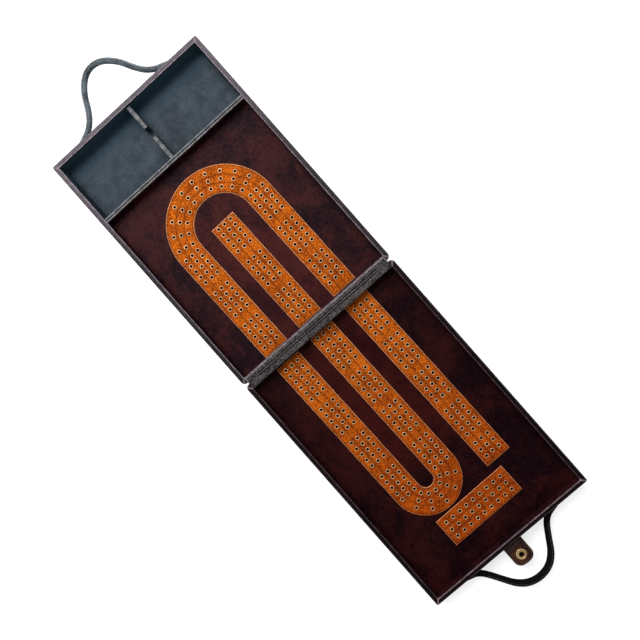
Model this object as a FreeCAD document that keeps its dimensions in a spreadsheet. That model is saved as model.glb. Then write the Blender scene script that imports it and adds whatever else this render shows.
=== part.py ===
import FreeCAD, Part
import math
import os
import types
import Sketcher

# Folding cribbage case: two shallow leather-covered trays hinged along their rims.
# +X runs from the card tray (-X) over the hinge line to the board tray (+X), +Y is the rear,
# +Z is up. The origin is on the table, under the middle of the hinge line. Millimetres.

doc = FreeCAD.newDocument("cribbage_case")

# Every size that can be set by itself: alias, number, meaning.
SIZES = (
    ("tray_width", "203", "one tray, front to rear"),
    ("tray_height", "27", "table to rim"),
    ("hinge_gap", "2", "between the two hinge walls, case open"),
    ("closed_gap", "0.6", "between the two rims, case shut"),
    ("far_corner", "1.8", "corner radius at the outer end"),
    ("hinge_corner", "4.5", "corner radius beside the hinge"),
    ("cover_leather", "1.2", "outer leather"),
    ("lining_leather", "1", "leather inside the walls and pockets"),
    ("playing_leather", "1.2", "leather over the peg board"),
    ("track_leather", "1", "leather of the tracks"),
    ("wall_thickness", "5.5", "wall with both leathers"),
    ("hinge_wall_thickness", "6.3", "hinge wall with both leathers"),
    ("bottom_board", "3", "bottom panel"),
    ("fit_clearance", "0.2", "around a board between the walls"),
    ("playing_depth", "12.5", "rim to playing surface"),
    ("pocket_length", "71", "card pocket along X"),
    ("partition_thickness", "5.1", "partition with both leathers"),
    ("partition_groove", "0.8", "core below the leather edges"),
    ("divider_thickness", "5", "divider with both leathers"),
    ("divider_drop", "3.4", "rim to the top of the divider's cap"),
    ("divider_cap_leather", "0.8", "leather strip on the divider"),
    ("notch_width", "12.2", "finger notch"),
    ("notch_depth", "14", "finger notch, below the divider's top"),
    ("fold_clearance", "0.05", "between the fold and each leaf"),
    ("lane_width", "30.4", "width of a track"),
    ("track_skew", "0.85", "degrees that the hand-laid tracks are off square"),
    ("track_margin", "0.9", "between a track's end and the hinge wall"),
    ("lane_one", "45.5", "rear lane, from the middle"),
    ("lane_two", "51.4", "front lane, from the middle"),
    ("lane_three", "3.4", "middle lane, in front of the middle"),
    ("rear_end_margin", "9.6", "last start hole to the end of its track"),
    ("middle_end_margin", "4", "last middle hole to the end of its track, card tray"),
    ("row_pitch", "8.4", "between the three rows of a lane"),
    ("group_holes", "5", "holes of a row in one group"),
    ("card_groups", "3", "groups along a lane, card tray"),
    ("board_groups", "4", "groups along a lane, board tray"),
    ("card_hole_pitch", "7.75", "hole to hole, card tray"),
    ("board_hole_pitch", "8.1", "hole to hole, board tray"),
    ("card_group_pitch", "46.4", "group to group, card tray"),
    ("board_group_pitch", "47.6", "group to group, board tray"),
    ("card_one_start", "22.3", "first rear hole from the hinge, card tray"),
    ("card_two_start", "17.8", "first front hole from the hinge, card tray"),
    ("card_three_start", "18.8", "first middle hole from the hinge, card tray"),
    ("board_one_start", "16.7", "first rear hole from the hinge, board tray"),
    ("board_two_start", "15.3", "first front hole from the hinge, board tray"),
    ("board_three_start", "12.8", "first middle hole from the hinge, board tray"),
    ("start_hole_gap", "12.9", "last rear hole to the first start hole"),
    ("start_hole_pitch", "8.8", "start hole to start hole"),
    ("start_holes", "3", "start holes in a row"),
    ("card_turn_columns", "10", "columns of holes round the wide turn"),
    ("card_turn_step", "16.3", "degrees between them"),
    ("card_turn_middle", "4.4", "degrees that they lie towards the front"),
    ("board_turn_columns", "5", "columns of holes round the tight turn"),
    ("board_turn_step", "30.4", "degrees between them"),
    ("board_turn_middle", "2.4", "degrees that they lie towards the rear"),
    ("games_turn_gap", "2.6", "tight turn to the games counter"),
    ("games_end_margin", "26.1", "games counter to the end wall"),
    ("games_offset", "4.3", "games counter, centre in front of the middle"),
    ("games_length", "91.4", "games counter, front to rear"),
    ("games_width", "33", "games counter, along X"),
    ("games_columns", "3", "columns of the games counter"),
    ("games_rows", "9", "rows of the games counter"),
    ("games_column_pitch", "9.15", "column to column"),
    ("games_row_pitch", "9.4", "row to row"),
    ("peg_bore", "2.3", "bore of an eyelet"),
    ("eyelet_flange", "4.4", "flange diameter"),
    ("eyelet_flange_thickness", "0.45", "flange thickness"),
    ("eyelet_crown", "3.8", "flange diameter at its top"),
    ("eyelet_barrel", "3.2", "barrel diameter"),
    ("eyelet_depth", "5", "barrel below the track's face"),
    ("drill_clearance", "0.1", "radial, round barrels and shanks"),
    ("hole_floor", "2", "wood left under a peg hole"),
    ("handle_standoff", "3.9", "handle's centre line from the end wall, at its roots"),
    ("handle_reach", "49.7", "handle's centre line from the end wall, at the grip"),
    ("grip_radius", "26", "bend of the grip"),
    ("root_spread", "45.2", "corner of each leg from the middle"),
    ("root_bend", "9", "bend radius of that corner"),
    ("root_end", "53", "end of the loop from the middle"),
    ("leg_diameter", "6.6", "rolled leather at the legs"),
    ("grip_diameter", "8.6", "rolled leather at the grip"),
    ("core_diameter", "3.6", "cord core inside the leather"),
    ("core_clearance", "0.1", "radial, round the core"),
    ("anchor_gap", "0.4", "between the loop and its anchor"),
    ("anchor_length", "13", "flattened end, along the wall"),
    ("anchor_height", "12", "flattened end, up the wall"),
    ("anchor_thickness", "2.6", "flattened end"),
    ("anchor_corner", "2.4", "its rounded corners"),
    ("rivet_head", "5", "head diameter"),
    ("rivet_head_thickness", "1", "head thickness"),
    ("rivet_shank", "2.4", "shank diameter"),
    ("shank_depth", "2", "shank in the wood"),
    ("tab_width", "23", "snap tab, front to rear"),
    ("tab_reach", "23.7", "snap tab, bend to tip"),
    ("tab_layer", "1.3", "each of the tab's two leathers"),
    ("tab_corner", "8", "rounded tip corners"),
    ("tab_drop", "4", "bend of the tab below the rim"),
    ("tab_standoff", "3", "bend of the tab from the wall"),
    ("tab_gap", "0.3", "between the tab's root and its anchor"),
    ("tab_anchor_height", "15", "leather on the wall, below the bend"),
    ("socket_reach", "12.4", "bend to the middle of the socket"),
    ("socket_diameter", "11.5", "brass ring"),
    ("socket_rise", "0.5", "ring above the leather"),
    ("socket_barrel", "5.8", "barrel through the leather"),
    ("socket_bore", "4.4", "inside the barrel"),
    ("cap_diameter", "12", "brass cap under the tab"),
    ("cap_thickness", "1.2", "brass cap"),
    ("stud_diameter", "3.6", "post of the stud"),
    ("stud_base", "9", "flange of the stud"),
    ("stud_base_thickness", "0.8", "flange of the stud"),
    ("stud_reach", "2.4", "post above its flange"),
)

sheet = doc.addObject("Spreadsheet::Sheet", "Sizes")
for line, (alias, number, meaning) in enumerate(SIZES, start=1):
    sheet.set(f"A{line}", meaning)
    sheet.set(f"B{line}", number)
    sheet.setAlias(f"B{line}", alias)
doc.recompute()


class Measure:
    """A length or an angle worked out from the sheet: its formula, and the number it comes to."""

    def __init__(self, formula, number):
        self.formula = formula
        self.number = number

    def joined(self, sign, other, number):
        return Measure(f"({self.formula} {sign} {written(other)})", number)

    def __add__(self, other):
        return self.joined("+", other, self.number + amount(other))

    def __sub__(self, other):
        return self.joined("-", other, self.number - amount(other))

    def __mul__(self, other):
        return self.joined("*", other, self.number * amount(other))

    def __truediv__(self, other):
        return self.joined("/", other, self.number / amount(other))

    def __neg__(self):
        return self * -1


def written(thing):
    """The formula of a measure, or a plain number as text."""
    return thing.formula if isinstance(thing, Measure) else str(thing)


def amount(thing):
    """The number of a measure, or a plain number."""
    return thing.number if isinstance(thing, Measure) else thing


def bind(thing, place, measure):
    """Ties one property to a measure's formula."""
    thing.setExpression(place, measure.formula)


size = types.SimpleNamespace()
for alias, number, meaning in SIZES:
    setattr(size, alias, Measure(f"Sizes.{alias}", float(sheet.get(alias))))

ZERO = Measure("0", 0.0)
CARD = -1
BOARD = 1
TRAY_NAMES = {CARD: "card", BOARD: "board"}



def last_hole(tray, start):
    """Distance out of a lane's last hole, from its first one."""
    groups = getattr(size, f"{tray}_groups") - 1
    pitch = getattr(size, f"{tray}_hole_pitch")
    return start + groups * getattr(size, f"{tray}_group_pitch") + (size.group_holes - 1) * pitch


# The tracks' distances out from the hinge line. Each turn is centred on its front lane's last hole.
LANES = {"one": size.lane_one, "two": -size.lane_two, "three": -size.lane_three}
CARD_TURN_REACH = last_hole("card", size.card_two_start)
BOARD_TURN_REACH = last_hole("board", size.board_two_start + size.board_hole_pitch)
CARD_TURN = (-CARD_TURN_REACH, (size.lane_one - size.lane_two) / 2)
CARD_TURN_RADIUS = (size.lane_one + size.lane_two) / 2
BOARD_TURN = (BOARD_TURN_REACH, -(size.lane_two + size.lane_three) / 2)
BOARD_TURN_RADIUS = (size.lane_two - size.lane_three) / 2
MIDDLE_END = last_hole("card", size.card_three_start) + size.middle_end_margin
START_HOLE_REACH = last_hole("board", size.board_one_start) + size.start_hole_gap
REAR_END = START_HOLE_REACH + (size.start_holes - 1) * size.start_hole_pitch + size.rear_end_margin
GAMES_NEAR = BOARD_TURN_REACH + BOARD_TURN_RADIUS + size.lane_width / 2 + size.games_turn_gap
GAMES_FAR = GAMES_NEAR + size.games_width
GAMES_REACH = GAMES_NEAR + size.games_width / 2

# Distances of walls and pockets from the hinge line, outwards along X.
HINGE_FACE = size.hinge_gap / 2
HINGE_WOOD_OUT = HINGE_FACE + size.cover_leather
HINGE_CLEAR = HINGE_FACE + size.hinge_wall_thickness
HINGE_WOOD_IN = HINGE_CLEAR - size.lining_leather
TRACK_NEAR = HINGE_CLEAR + size.track_margin
END_CLEAR = GAMES_FAR + size.games_end_margin
END_WOOD_IN = END_CLEAR + size.lining_leather
END_FACE = END_CLEAR + size.wall_thickness
END_WOOD_OUT = END_FACE - size.cover_leather
POCKET_NEAR = END_CLEAR - size.pocket_length
POCKET_MIDDLE = END_CLEAR - size.pocket_length / 2
CORE_FAR = POCKET_NEAR - size.lining_leather
PARTITION_NEAR = POCKET_NEAR - size.partition_thickness
CORE_NEAR = PARTITION_NEAR + size.lining_leather

# Half widths, from the middle towards the front or the rear.
SIDE_FACE = size.tray_width / 2
SIDE_WOOD_OUT = SIDE_FACE - size.cover_leather
SIDE_CLEAR = SIDE_FACE - size.wall_thickness
SIDE_WOOD_IN = SIDE_CLEAR + size.lining_leather
DIVIDER_FACE = size.divider_thickness / 2
DIVIDER_CORE = DIVIDER_FACE - size.lining_leather

# Heights above the table.
RIM = size.tray_height
OVER_RIM = size.tray_height + size.wall_thickness
UNDER_RIM = RIM - size.cover_leather
PANEL_TOP = size.cover_leather + size.bottom_board
PLAYING_TOP = RIM - size.playing_depth
BOARD_TOP = PLAYING_TOP - size.playing_leather
TRACK_TOP = PLAYING_TOP + size.track_leather
DIVIDER_CAP_TOP = RIM - size.divider_drop
DIVIDER_TOP = DIVIDER_CAP_TOP - size.divider_cap_leather
HANDLE_HEIGHT = RIM / 2
TAB_HEIGHT = RIM - size.tab_drop
STUD_HEIGHT = RIM + size.closed_gap + size.tab_drop - size.socket_reach

sub_parts = []


def sub_part(thing, name):
    """Names a finished piece, which is written to a file of that name."""
    thing.Label = name
    sub_parts.append(thing)
    return thing


def both_ways(half_width):
    """The span from the front to the rear of a half width."""
    return (-half_width, half_width)


def block(name, side, across, along, up):
    """A block on one tray: spans outwards from the hinge line, front to rear, and upwards."""
    near, far = across
    front, rear = along
    low, high = up
    made = doc.addObject("Part::Box", name)
    bind(made, "Length", far - near)
    bind(made, "Width", rear - front)
    bind(made, "Height", high - low)
    bind(made, "Placement.Base.x", near if side == BOARD else -far)
    bind(made, "Placement.Base.y", front)
    bind(made, "Placement.Base.z", low)
    return made


def cut(name, base, *tools):
    """The base with each tool taken out of it."""
    made = base
    for number, tool in enumerate(tools, start=1):
        carved = doc.addObject("Part::Cut", f"{name}_cut_{number}")
        carved.Base = made
        carved.Tool = tool
        made = carved
    return made


def fuse(name, *pieces):
    """The pieces joined into one solid."""
    made = doc.addObject("Part::MultiFuse", f"{name}_joined")
    made.Shapes = list(pieces)
    made.Refine = True
    return made


def shared(name, first, second):
    """What two pieces have in common."""
    made = doc.addObject("Part::MultiCommon", f"{name}_shared")
    made.Shapes = [first, second]
    return made


def round_corners(name, made, hinge_radius, far_radius):
    """Rounds the four upright edges: one radius beside the hinge, one at the outer end."""
    doc.recompute()
    box = made.Shape.BoundBox
    edges = []
    for number, edge in enumerate(made.Shape.Edges, start=1):
        if edge.BoundBox.ZLength > box.ZLength / 2:
            beside_hinge = abs(edge.BoundBox.XMin) < abs(box.Center.x)
            radius = amount(hinge_radius if beside_hinge else far_radius)
            edges.append((number, radius, radius))
    rounded = doc.addObject("Part::Fillet", f"{name}_rounded")
    rounded.Base = made
    rounded.Edges = edges
    return rounded


def round_along(name, made, axis, radius):
    """Rounds the four edges that run along one axis."""
    doc.recompute()
    length = f"{axis}Length"
    whole = getattr(made.Shape.BoundBox, length)
    edges = []
    for number, edge in enumerate(made.Shape.Edges, start=1):
        if getattr(edge.BoundBox, length) > whole / 2:
            edges.append((number, amount(radius), amount(radius)))
    rounded = doc.addObject("Part::Fillet", f"{name}_rounded")
    rounded.Base = made
    rounded.Edges = edges
    return rounded


def rod(name, side, across, height, diameter, reach):
    """A round bar along X, between two distances outwards from the end wall's face."""
    start, end = reach
    made = doc.addObject("Part::Cylinder", name)
    turn = FreeCAD.Rotation(FreeCAD.Vector(0, 1, 0), 90 * side)
    made.Placement = FreeCAD.Placement(FreeCAD.Vector(), turn)
    bind(made, "Radius", diameter / 2)
    bind(made, "Height", end - start)
    bind(made, "Placement.Base.x", (END_FACE + start) * side)
    bind(made, "Placement.Base.y", across)
    bind(made, "Placement.Base.z", height)
    return made


def upright(name, x, y, low, high, diameter):
    """A round bar standing along Z."""
    made = doc.addObject("Part::Cylinder", name)
    bind(made, "Radius", diameter / 2)
    bind(made, "Height", high - low)
    bind(made, "Placement.Base.x", x)
    bind(made, "Placement.Base.y", y)
    bind(made, "Placement.Base.z", low)
    return made


# ---------------------------------------------------------------- sketched pieces


def body_with_sketch(name, role):
    """An empty body with a sketch on one of its own origin planes."""
    body = doc.addObject("PartDesign::Body", name)
    plane = next(found for found in body.Origin.OriginFeatures if found.Role == role)
    sketch = body.newObject("Sketcher::SketchObject", f"{name}_sketch")
    sketch.AttachmentSupport = [(plane, "")]
    sketch.MapMode = "FlatFace"
    return body, sketch


def vector(corner):
    """A sketch point from two measures."""
    x, y = corner
    return FreeCAD.Vector(amount(x), amount(y), 0)


def add_arc(sketch, start, stop, centre, radius, sense):
    """An arc from start to stop. Returns which of its ends come first and last on the way."""
    first, last = (start, stop) if sense > 0 else (stop, start)
    middle = vector(centre)
    begin = math.atan2(first.y - middle.y, first.x - middle.x)
    finish = math.atan2(last.y - middle.y, last.x - middle.x)
    circle = Part.Circle(middle, FreeCAD.Vector(0, 0, 1), amount(radius))
    sketch.addGeometry(Part.ArcOfCircle(circle, begin, finish), False)
    return (1, 2) if sense > 0 else (2, 1)


def closed_outline(sketch, corners, bends=None):
    """An outline from corner to corner. bends gives an edge a centre, a radius and a sense."""
    bends = bends or {}
    count = len(corners)
    ends = []
    for here in range(count):
        start = vector(corners[here])
        stop = vector(corners[(here + 1) % count])
        if here in bends:
            ends.append(add_arc(sketch, start, stop, *bends[here]))
        else:
            sketch.addGeometry(Part.LineSegment(start, stop), False)
            ends.append((1, 2))
    for here in range(count):
        following = (here + 1) % count
        joint = ("Coincident", here, ends[here][1], following, ends[following][0])
        sketch.addConstraint(Sketcher.Constraint(*joint))
    for here in range(count):
        tie_corner(sketch, here, ends[here][0], corners[here])
    for here, (centre, *_) in bends.items():
        rule = Sketcher.Constraint("DistanceX", -1, 1, here, 3, amount(centre[0]))
        index = sketch.addConstraint(rule)
        bind(sketch, f"Constraints[{index}]", centre[0])


def tie_corner(sketch, edge, end, corner):
    """Ties one end of an edge to two measures, along each of the sketch's axes."""
    for kind, measure in zip(("DistanceX", "DistanceY"), corner):
        rule = Sketcher.Constraint(kind, -1, 1, edge, end, amount(measure))
        index = sketch.addConstraint(rule)
        bind(sketch, f"Constraints[{index}]", measure)


def pad(body, sketch, thickness):
    """Gives the sketch its thickness."""
    made = body.newObject("PartDesign::Pad", f"{body.Name}_pad")
    made.Profile = sketch
    bind(made, "Length", thickness)
    body.Tip = made
    return made


def laid_on_board(body):
    """Lays a piece of the tracks on the playing surface, off square by the tracks' skew."""
    turn = FreeCAD.Rotation(FreeCAD.Vector(0, 0, 1), size.track_skew.number)
    body.Placement = FreeCAD.Placement(FreeCAD.Vector(), turn)
    body.setExpression("Placement.Rotation.Angle", f"{size.track_skew.formula} * 1 deg")
    bind(body, "Placement.Base.z", PLAYING_TOP)
    return body


# ---------------------------------------------------------------- the peg holes

ROWS = (-1, 0, 1)


def lane_holes(side, lane):
    """Places of one lane's holes on one tray, as distances out and across."""
    name = TRAY_NAMES[side]
    pitch = getattr(size, f"{name}_hole_pitch").number
    group_pitch = getattr(size, f"{name}_group_pitch").number
    groups = int(getattr(size, f"{name}_groups").number)
    start = getattr(size, f"{name}_{lane}_start").number
    count = int(size.group_holes.number)
    outs = []
    if side == BOARD and lane != "one":
        outs.append(start)
        start += pitch
    for group in range(groups):
        for hole in range(count):
            outs.append(start + group * group_pitch + hole * pitch)
    middle = LANES[lane].number
    row_pitch = size.row_pitch.number
    return [(side * out, middle + row * row_pitch) for out in outs for row in ROWS]


def turn_holes(side, centre, radius):
    """Places of the holes round a turn, in columns that point at its centre."""
    name = TRAY_NAMES[side]
    columns = int(getattr(size, f"{name}_turn_columns").number)
    step = getattr(size, f"{name}_turn_step").number
    middle = getattr(size, f"{name}_turn_middle").number * side
    x, y = (amount(part) for part in centre)
    holes = []
    for column in range(columns):
        angle = math.radians(middle + (column - (columns - 1) / 2) * step)
        for row in ROWS:
            reach = radius.number + row * size.row_pitch.number
            holes.append((x + side * reach * math.cos(angle), y + reach * math.sin(angle)))
    return holes


def start_holes():
    """The short rows from which the pegs set off, at the outer end of the rear lane."""
    first = START_HOLE_REACH.number
    pitch = size.start_hole_pitch.number
    outs = [first + hole * pitch for hole in range(int(size.start_holes.number))]
    return [(out, size.lane_one.number + row * size.row_pitch.number) for out in outs for row in ROWS]


def games_holes():
    """The crosswise block that counts games won."""
    columns = int(size.games_columns.number)
    rows = int(size.games_rows.number)
    holes = []
    for column in range(columns):
        x = GAMES_REACH.number + (column - (columns - 1) / 2) * size.games_column_pitch.number
        for row in range(rows):
            across = (row - (rows - 1) / 2) * size.games_row_pitch.number
            holes.append((x, across - size.games_offset.number))
    return holes


def skewed(holes):
    """Turns the places about the middle of the hinge line by the tracks' skew."""
    angle = math.radians(size.track_skew.number)
    cosine = math.cos(angle)
    sine = math.sin(angle)
    return [(x * cosine - y * sine, x * sine + y * cosine) for x, y in holes]


def copies(name, master, holes):
    """One copy of a piece at each place, as a group of separate solids."""
    doc.recompute()
    solids = []
    for x, y in holes:
        solid = master.Shape.copy()
        solid.translate(FreeCAD.Vector(x, y, 0))
        solids.append(solid)
    group = doc.addObject("Part::Feature", name)
    group.Shape = Part.makeCompound(solids)
    return group


def card_holes():
    """Every peg hole of the card tray."""
    holes = lane_holes(CARD, "one") + lane_holes(CARD, "two") + lane_holes(CARD, "three")
    return skewed(holes + turn_holes(CARD, CARD_TURN, CARD_TURN_RADIUS))


def board_holes():
    """Every peg hole of the board tray."""
    holes = lane_holes(BOARD, "one") + lane_holes(BOARD, "two") + lane_holes(BOARD, "three")
    holes += turn_holes(BOARD, BOARD_TURN, BOARD_TURN_RADIUS)
    return skewed(holes + start_holes() + games_holes())


def drills(name, holes):
    """The bores that take the eyelets, from above the tracks into the wood."""
    width = size.eyelet_barrel + size.drill_clearance * 2
    depth = PANEL_TOP + size.hole_floor
    one = upright(f"{name}_drill", ZERO, ZERO, depth, RIM, width)
    return copies(f"{name}_drills", one, holes)


def eyelet(name):
    """One flanged eyelet, turned about its bore, standing at the origin of the layout."""
    body, sketch = body_with_sketch(name, "XZ_Plane")
    bore = size.peg_bore / 2
    barrel = size.eyelet_barrel / 2
    flange = size.eyelet_flange / 2
    top = TRACK_TOP + size.eyelet_flange_thickness
    foot = TRACK_TOP - size.eyelet_depth
    corners = [(bore, foot), (barrel, foot), (barrel, TRACK_TOP), (flange, TRACK_TOP)]
    corners += [(size.eyelet_crown / 2, top), (bore, top)]
    closed_outline(sketch, corners)
    turned = body.newObject("PartDesign::Revolution", f"{name}_turned")
    turned.Profile = sketch
    turned.ReferenceAxis = (sketch, ["V_Axis"])
    turned.Angle = 360
    body.Tip = turned
    return body


# ---------------------------------------------------------------- tracks


def lane_strip(name, side, lane, far):
    """A straight track from the hinge wall out to its end."""
    body, sketch = body_with_sketch(name, "XY_Plane")
    low = LANES[lane] - size.lane_width / 2
    high = LANES[lane] + size.lane_width / 2
    first, last = (TRACK_NEAR, far) if side == BOARD else (-far, -TRACK_NEAR)
    closed_outline(sketch, [(first, low), (last, low), (last, high), (first, high)])
    pad(body, sketch, size.track_leather)
    return laid_on_board(body)


def turning_track(name, side, centre, radius):
    """Two lanes joined by a half turn, with both ends beside the hinge wall."""
    body, sketch = body_with_sketch(name, "XY_Plane")
    x, y = centre
    end = TRACK_NEAR * side
    outer = radius + size.lane_width / 2
    inner = radius - size.lane_width / 2
    corners = [(end, y + outer), (x, y + outer), (x, y - outer), (end, y - outer)]
    corners += [(end, y - inner), (x, y - inner), (x, y + inner), (end, y + inner)]
    bends = {1: (centre, outer, -side), 5: (centre, inner, side)}
    closed_outline(sketch, corners, bends)
    pad(body, sketch, size.track_leather)
    return laid_on_board(body)


def games_plate(name):
    """The crosswise plate of the games counter."""
    body, sketch = body_with_sketch(name, "XY_Plane")
    low = -size.games_offset - size.games_length / 2
    high = size.games_length / 2 - size.games_offset
    corners = [(GAMES_NEAR, low), (GAMES_FAR, low), (GAMES_FAR, high), (GAMES_NEAR, high)]
    closed_outline(sketch, corners)
    pad(body, sketch, size.track_leather)
    return laid_on_board(body)


# ---------------------------------------------------------------- one tray


def leather_block(name, side, inset, low, high):
    """The tray's outline with its rounded corners, drawn in by a leather's thickness."""
    across = (HINGE_FACE + inset, END_FACE - inset)
    solid = block(name, side, across, both_ways(SIDE_FACE - inset), (low, high))
    return round_corners(name, solid, size.hinge_corner - inset, size.far_corner - inset)


def wooden_frame(name, side, wood, fixings):
    """Front, rear, hinge and end walls, standing on the bottom panel."""
    full = (HINGE_FACE, END_FACE)
    up = (PANEL_TOP, UNDER_RIM)
    inside = both_ways(SIDE_WOOD_IN)
    front = block(f"{name}_front", side, full, (-SIDE_FACE, -SIDE_WOOD_IN), up)
    rear = block(f"{name}_rear", side, full, (SIDE_WOOD_IN, SIDE_FACE), up)
    hinge = block(f"{name}_hinge", side, (HINGE_WOOD_OUT, HINGE_WOOD_IN), inside, up)
    end = block(f"{name}_end", side, (END_WOOD_IN, END_WOOD_OUT), inside, up)
    sub_part(shared(f"{name}_front", wood, front), f"{name}_tray_front_wall")
    sub_part(shared(f"{name}_rear", wood, rear), f"{name}_tray_rear_wall")
    sub_part(hinge, f"{name}_tray_hinge_wall")
    sub_part(cut(f"{name}_end", end, *fixings), f"{name}_tray_end_wall")


def outer_leather(name, side, wood, fixings):
    """The leather round the walls, turned over their tops, and the leather under the tray."""
    sheet_under = leather_block(f"{name}_under", side, ZERO, ZERO, size.cover_leather)
    sub_part(sheet_under, f"{name}_tray_bottom_leather")
    skin = leather_block(f"{name}_skin", side, ZERO, size.cover_leather, RIM)
    across = (HINGE_CLEAR, END_CLEAR)
    mouth = block(f"{name}_mouth", side, across, both_ways(SIDE_CLEAR), (PANEL_TOP, OVER_RIM))
    seat_up = (UNDER_RIM, OVER_RIM)
    seat_across = (HINGE_FACE, HINGE_CLEAR)
    seat = block(f"{name}_seat", side, seat_across, both_ways(SIDE_CLEAR), seat_up)
    made = cut(f"{name}_skin", skin, wood, mouth, seat, *fixings)
    sub_part(made, f"{name}_tray_side_leather")


def bottom_panel(name, side, wood):
    """The board that closes the tray underneath."""
    across = (HINGE_FACE, END_FACE)
    low = block(f"{name}_low", side, across, both_ways(SIDE_FACE), (size.cover_leather, PANEL_TOP))
    sub_part(shared(f"{name}_low", wood, low), f"{name}_tray_bottom_panel")


def playing_surface(name, side, far_wood, pins):
    """The drilled board and the dark leather on it, fitted between the walls."""
    across = (HINGE_WOOD_IN + size.fit_clearance, far_wood - size.fit_clearance)
    along = both_ways(SIDE_WOOD_IN - size.fit_clearance)
    board = block(f"{name}_board", side, across, along, (PANEL_TOP, BOARD_TOP))
    leather = block(f"{name}_leather", side, across, along, (BOARD_TOP, PLAYING_TOP))
    sub_part(cut(f"{name}_board", board, pins), f"{name}_tray_peg_board")
    sub_part(cut(f"{name}_leather", leather, pins), f"{name}_tray_playing_leather")


def wall_lining(name, side, far_wood, far_clear):
    """The strip of leather round the inside of the walls, above the playing surface."""
    up = (PLAYING_TOP, UNDER_RIM)
    outside = block(f"{name}_out", side, (HINGE_WOOD_IN, far_wood), both_ways(SIDE_WOOD_IN), up)
    through = (PANEL_TOP, OVER_RIM)
    inside = block(f"{name}_in", side, (HINGE_CLEAR, far_clear), both_ways(SIDE_CLEAR), through)
    sub_part(cut(f"{name}_lining", outside, inside), f"{name}_tray_wall_lining")


def hinge_leaf(name, side):
    """Half of the hinge leather, glued along the top of the hinge wall."""
    across = (HINGE_FACE, HINGE_CLEAR)
    leaf = block(f"{name}_leaf", side, across, both_ways(SIDE_CLEAR), (UNDER_RIM, RIM))
    sub_part(leaf, f"{name}_hinge_leaf")


def handle_route(side):
    """Points along the handle's centre line: roots along the wall, bent legs and a round grip."""
    standoff = size.handle_standoff.number
    corner = FreeCAD.Vector(standoff, size.root_spread.number, 0)
    grip = size.grip_radius.number
    centre = FreeCAD.Vector(size.handle_reach.number - grip, 0, 0)
    away = corner - centre
    swing = math.atan2(away.y, away.x) - math.acos(grip / away.Length)
    touch = along_grip(centre, grip, swing)
    leg = (touch - corner).normalize()
    bend = size.root_bend.number
    reach = bend * math.tan(math.acos(-leg.y) / 2)
    bend_start = corner + FreeCAD.Vector(0, reach, 0)
    bend_end = corner + leg * reach
    bend_centre = bend_start + FreeCAD.Vector(bend, 0, 0)
    bend_middle = bend_centre + (corner - bend_centre).normalize() * bend
    root = FreeCAD.Vector(standoff, size.root_end.number, 0)
    rear = [root, bend_start, bend_middle, bend_end, touch, along_grip(centre, grip, swing / 2)]
    front = [FreeCAD.Vector(point.x, -point.y, 0) for point in reversed(rear)]
    apex = along_grip(centre, grip, 0)
    return [placed_by_wall(point, side) for point in rear + [apex] + front]


def along_grip(centre, radius, angle):
    """A point of the grip's arc, at an angle from straight out."""
    return centre + FreeCAD.Vector(math.cos(angle), math.sin(angle), 0) * radius


def placed_by_wall(point, side):
    """A point given outwards from the end wall, moved to its place at the handle's height."""
    return FreeCAD.Vector(side * (END_FACE.number + point.x), point.y, HANDLE_HEIGHT.number)


def handle_edges(side):
    """The straight and round stretches of the centre line, from the rear root to the front one."""
    route = handle_route(side)
    kinds = ("line", "arc", "line", "arc", "arc", "line", "arc", "line")
    edges = []
    here = 0
    for kind in kinds:
        if kind == "line":
            edges.append(Part.LineSegment(route[here], route[here + 1]).toShape())
            here += 1
        else:
            edges.append(Part.Arc(route[here], route[here + 1], route[here + 2]).toShape())
            here += 2
    return edges


def tube(edges, widths):
    """A round tube along joined edges, with its width given at each of their ends."""
    rings = []
    for edge, width in zip(edges + [edges[-1]], widths):
        end = edge.FirstParameter if len(rings) < len(edges) else edge.LastParameter
        ring = Part.Circle(edge.valueAt(end), edge.tangentAt(end), width / 2)
        rings.append(Part.Wire([ring.toShape()]))
    return Part.Wire(edges).makePipeShell(rings, True, False)


def handle_loop(name, side):
    """A rolled-leather loop, fuller at the grip, over a cord core."""
    edges = handle_edges(side)
    legs = [size.leg_diameter.number] * (len(edges) // 2)
    outer = legs + [size.grip_diameter.number] + legs
    core = size.core_diameter.number
    hollow = core + 2 * size.core_clearance.number
    rolled = tube(edges, outer).cut(tube(edges, [hollow] * len(outer)))
    leather = doc.addObject("Part::Feature", f"{name}_loop")
    leather.Shape = rolled
    sub_part(leather, f"{name}_handle_leather")
    cord = doc.addObject("Part::Feature", f"{name}_cord")
    cord.Shape = tube(edges, [core] * len(outer))
    sub_part(cord, f"{name}_handle_core")


def anchor_places():
    """Where the two rivets go, from the middle."""
    across = size.root_end + size.anchor_gap + size.anchor_length / 2
    return {"rear": across, "front": -across}


def rivet(name, side, across):
    """One domed rivet through the flattened end into the wall."""
    under = size.anchor_thickness
    top = under + size.rivet_head_thickness
    inner = -size.cover_leather - size.shank_depth
    head = rod(f"{name}_head", side, across, HANDLE_HEIGHT, size.rivet_head, (under, top))
    shank = rod(f"{name}_shank", side, across, HANDLE_HEIGHT, size.rivet_shank, (inner, under))
    return fuse(name, head, shank)


def rivet_hole(name, side, across):
    """The hole that one rivet's shank goes through."""
    width = size.rivet_shank + size.drill_clearance * 2
    inner = -size.cover_leather - size.shank_depth
    return rod(name, side, across, HANDLE_HEIGHT, width, (inner, size.anchor_thickness))


def compound(name, pieces):
    """Separate solids kept together in one piece's file."""
    made = doc.addObject("Part::Compound", name)
    made.Links = list(pieces)
    return made


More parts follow.
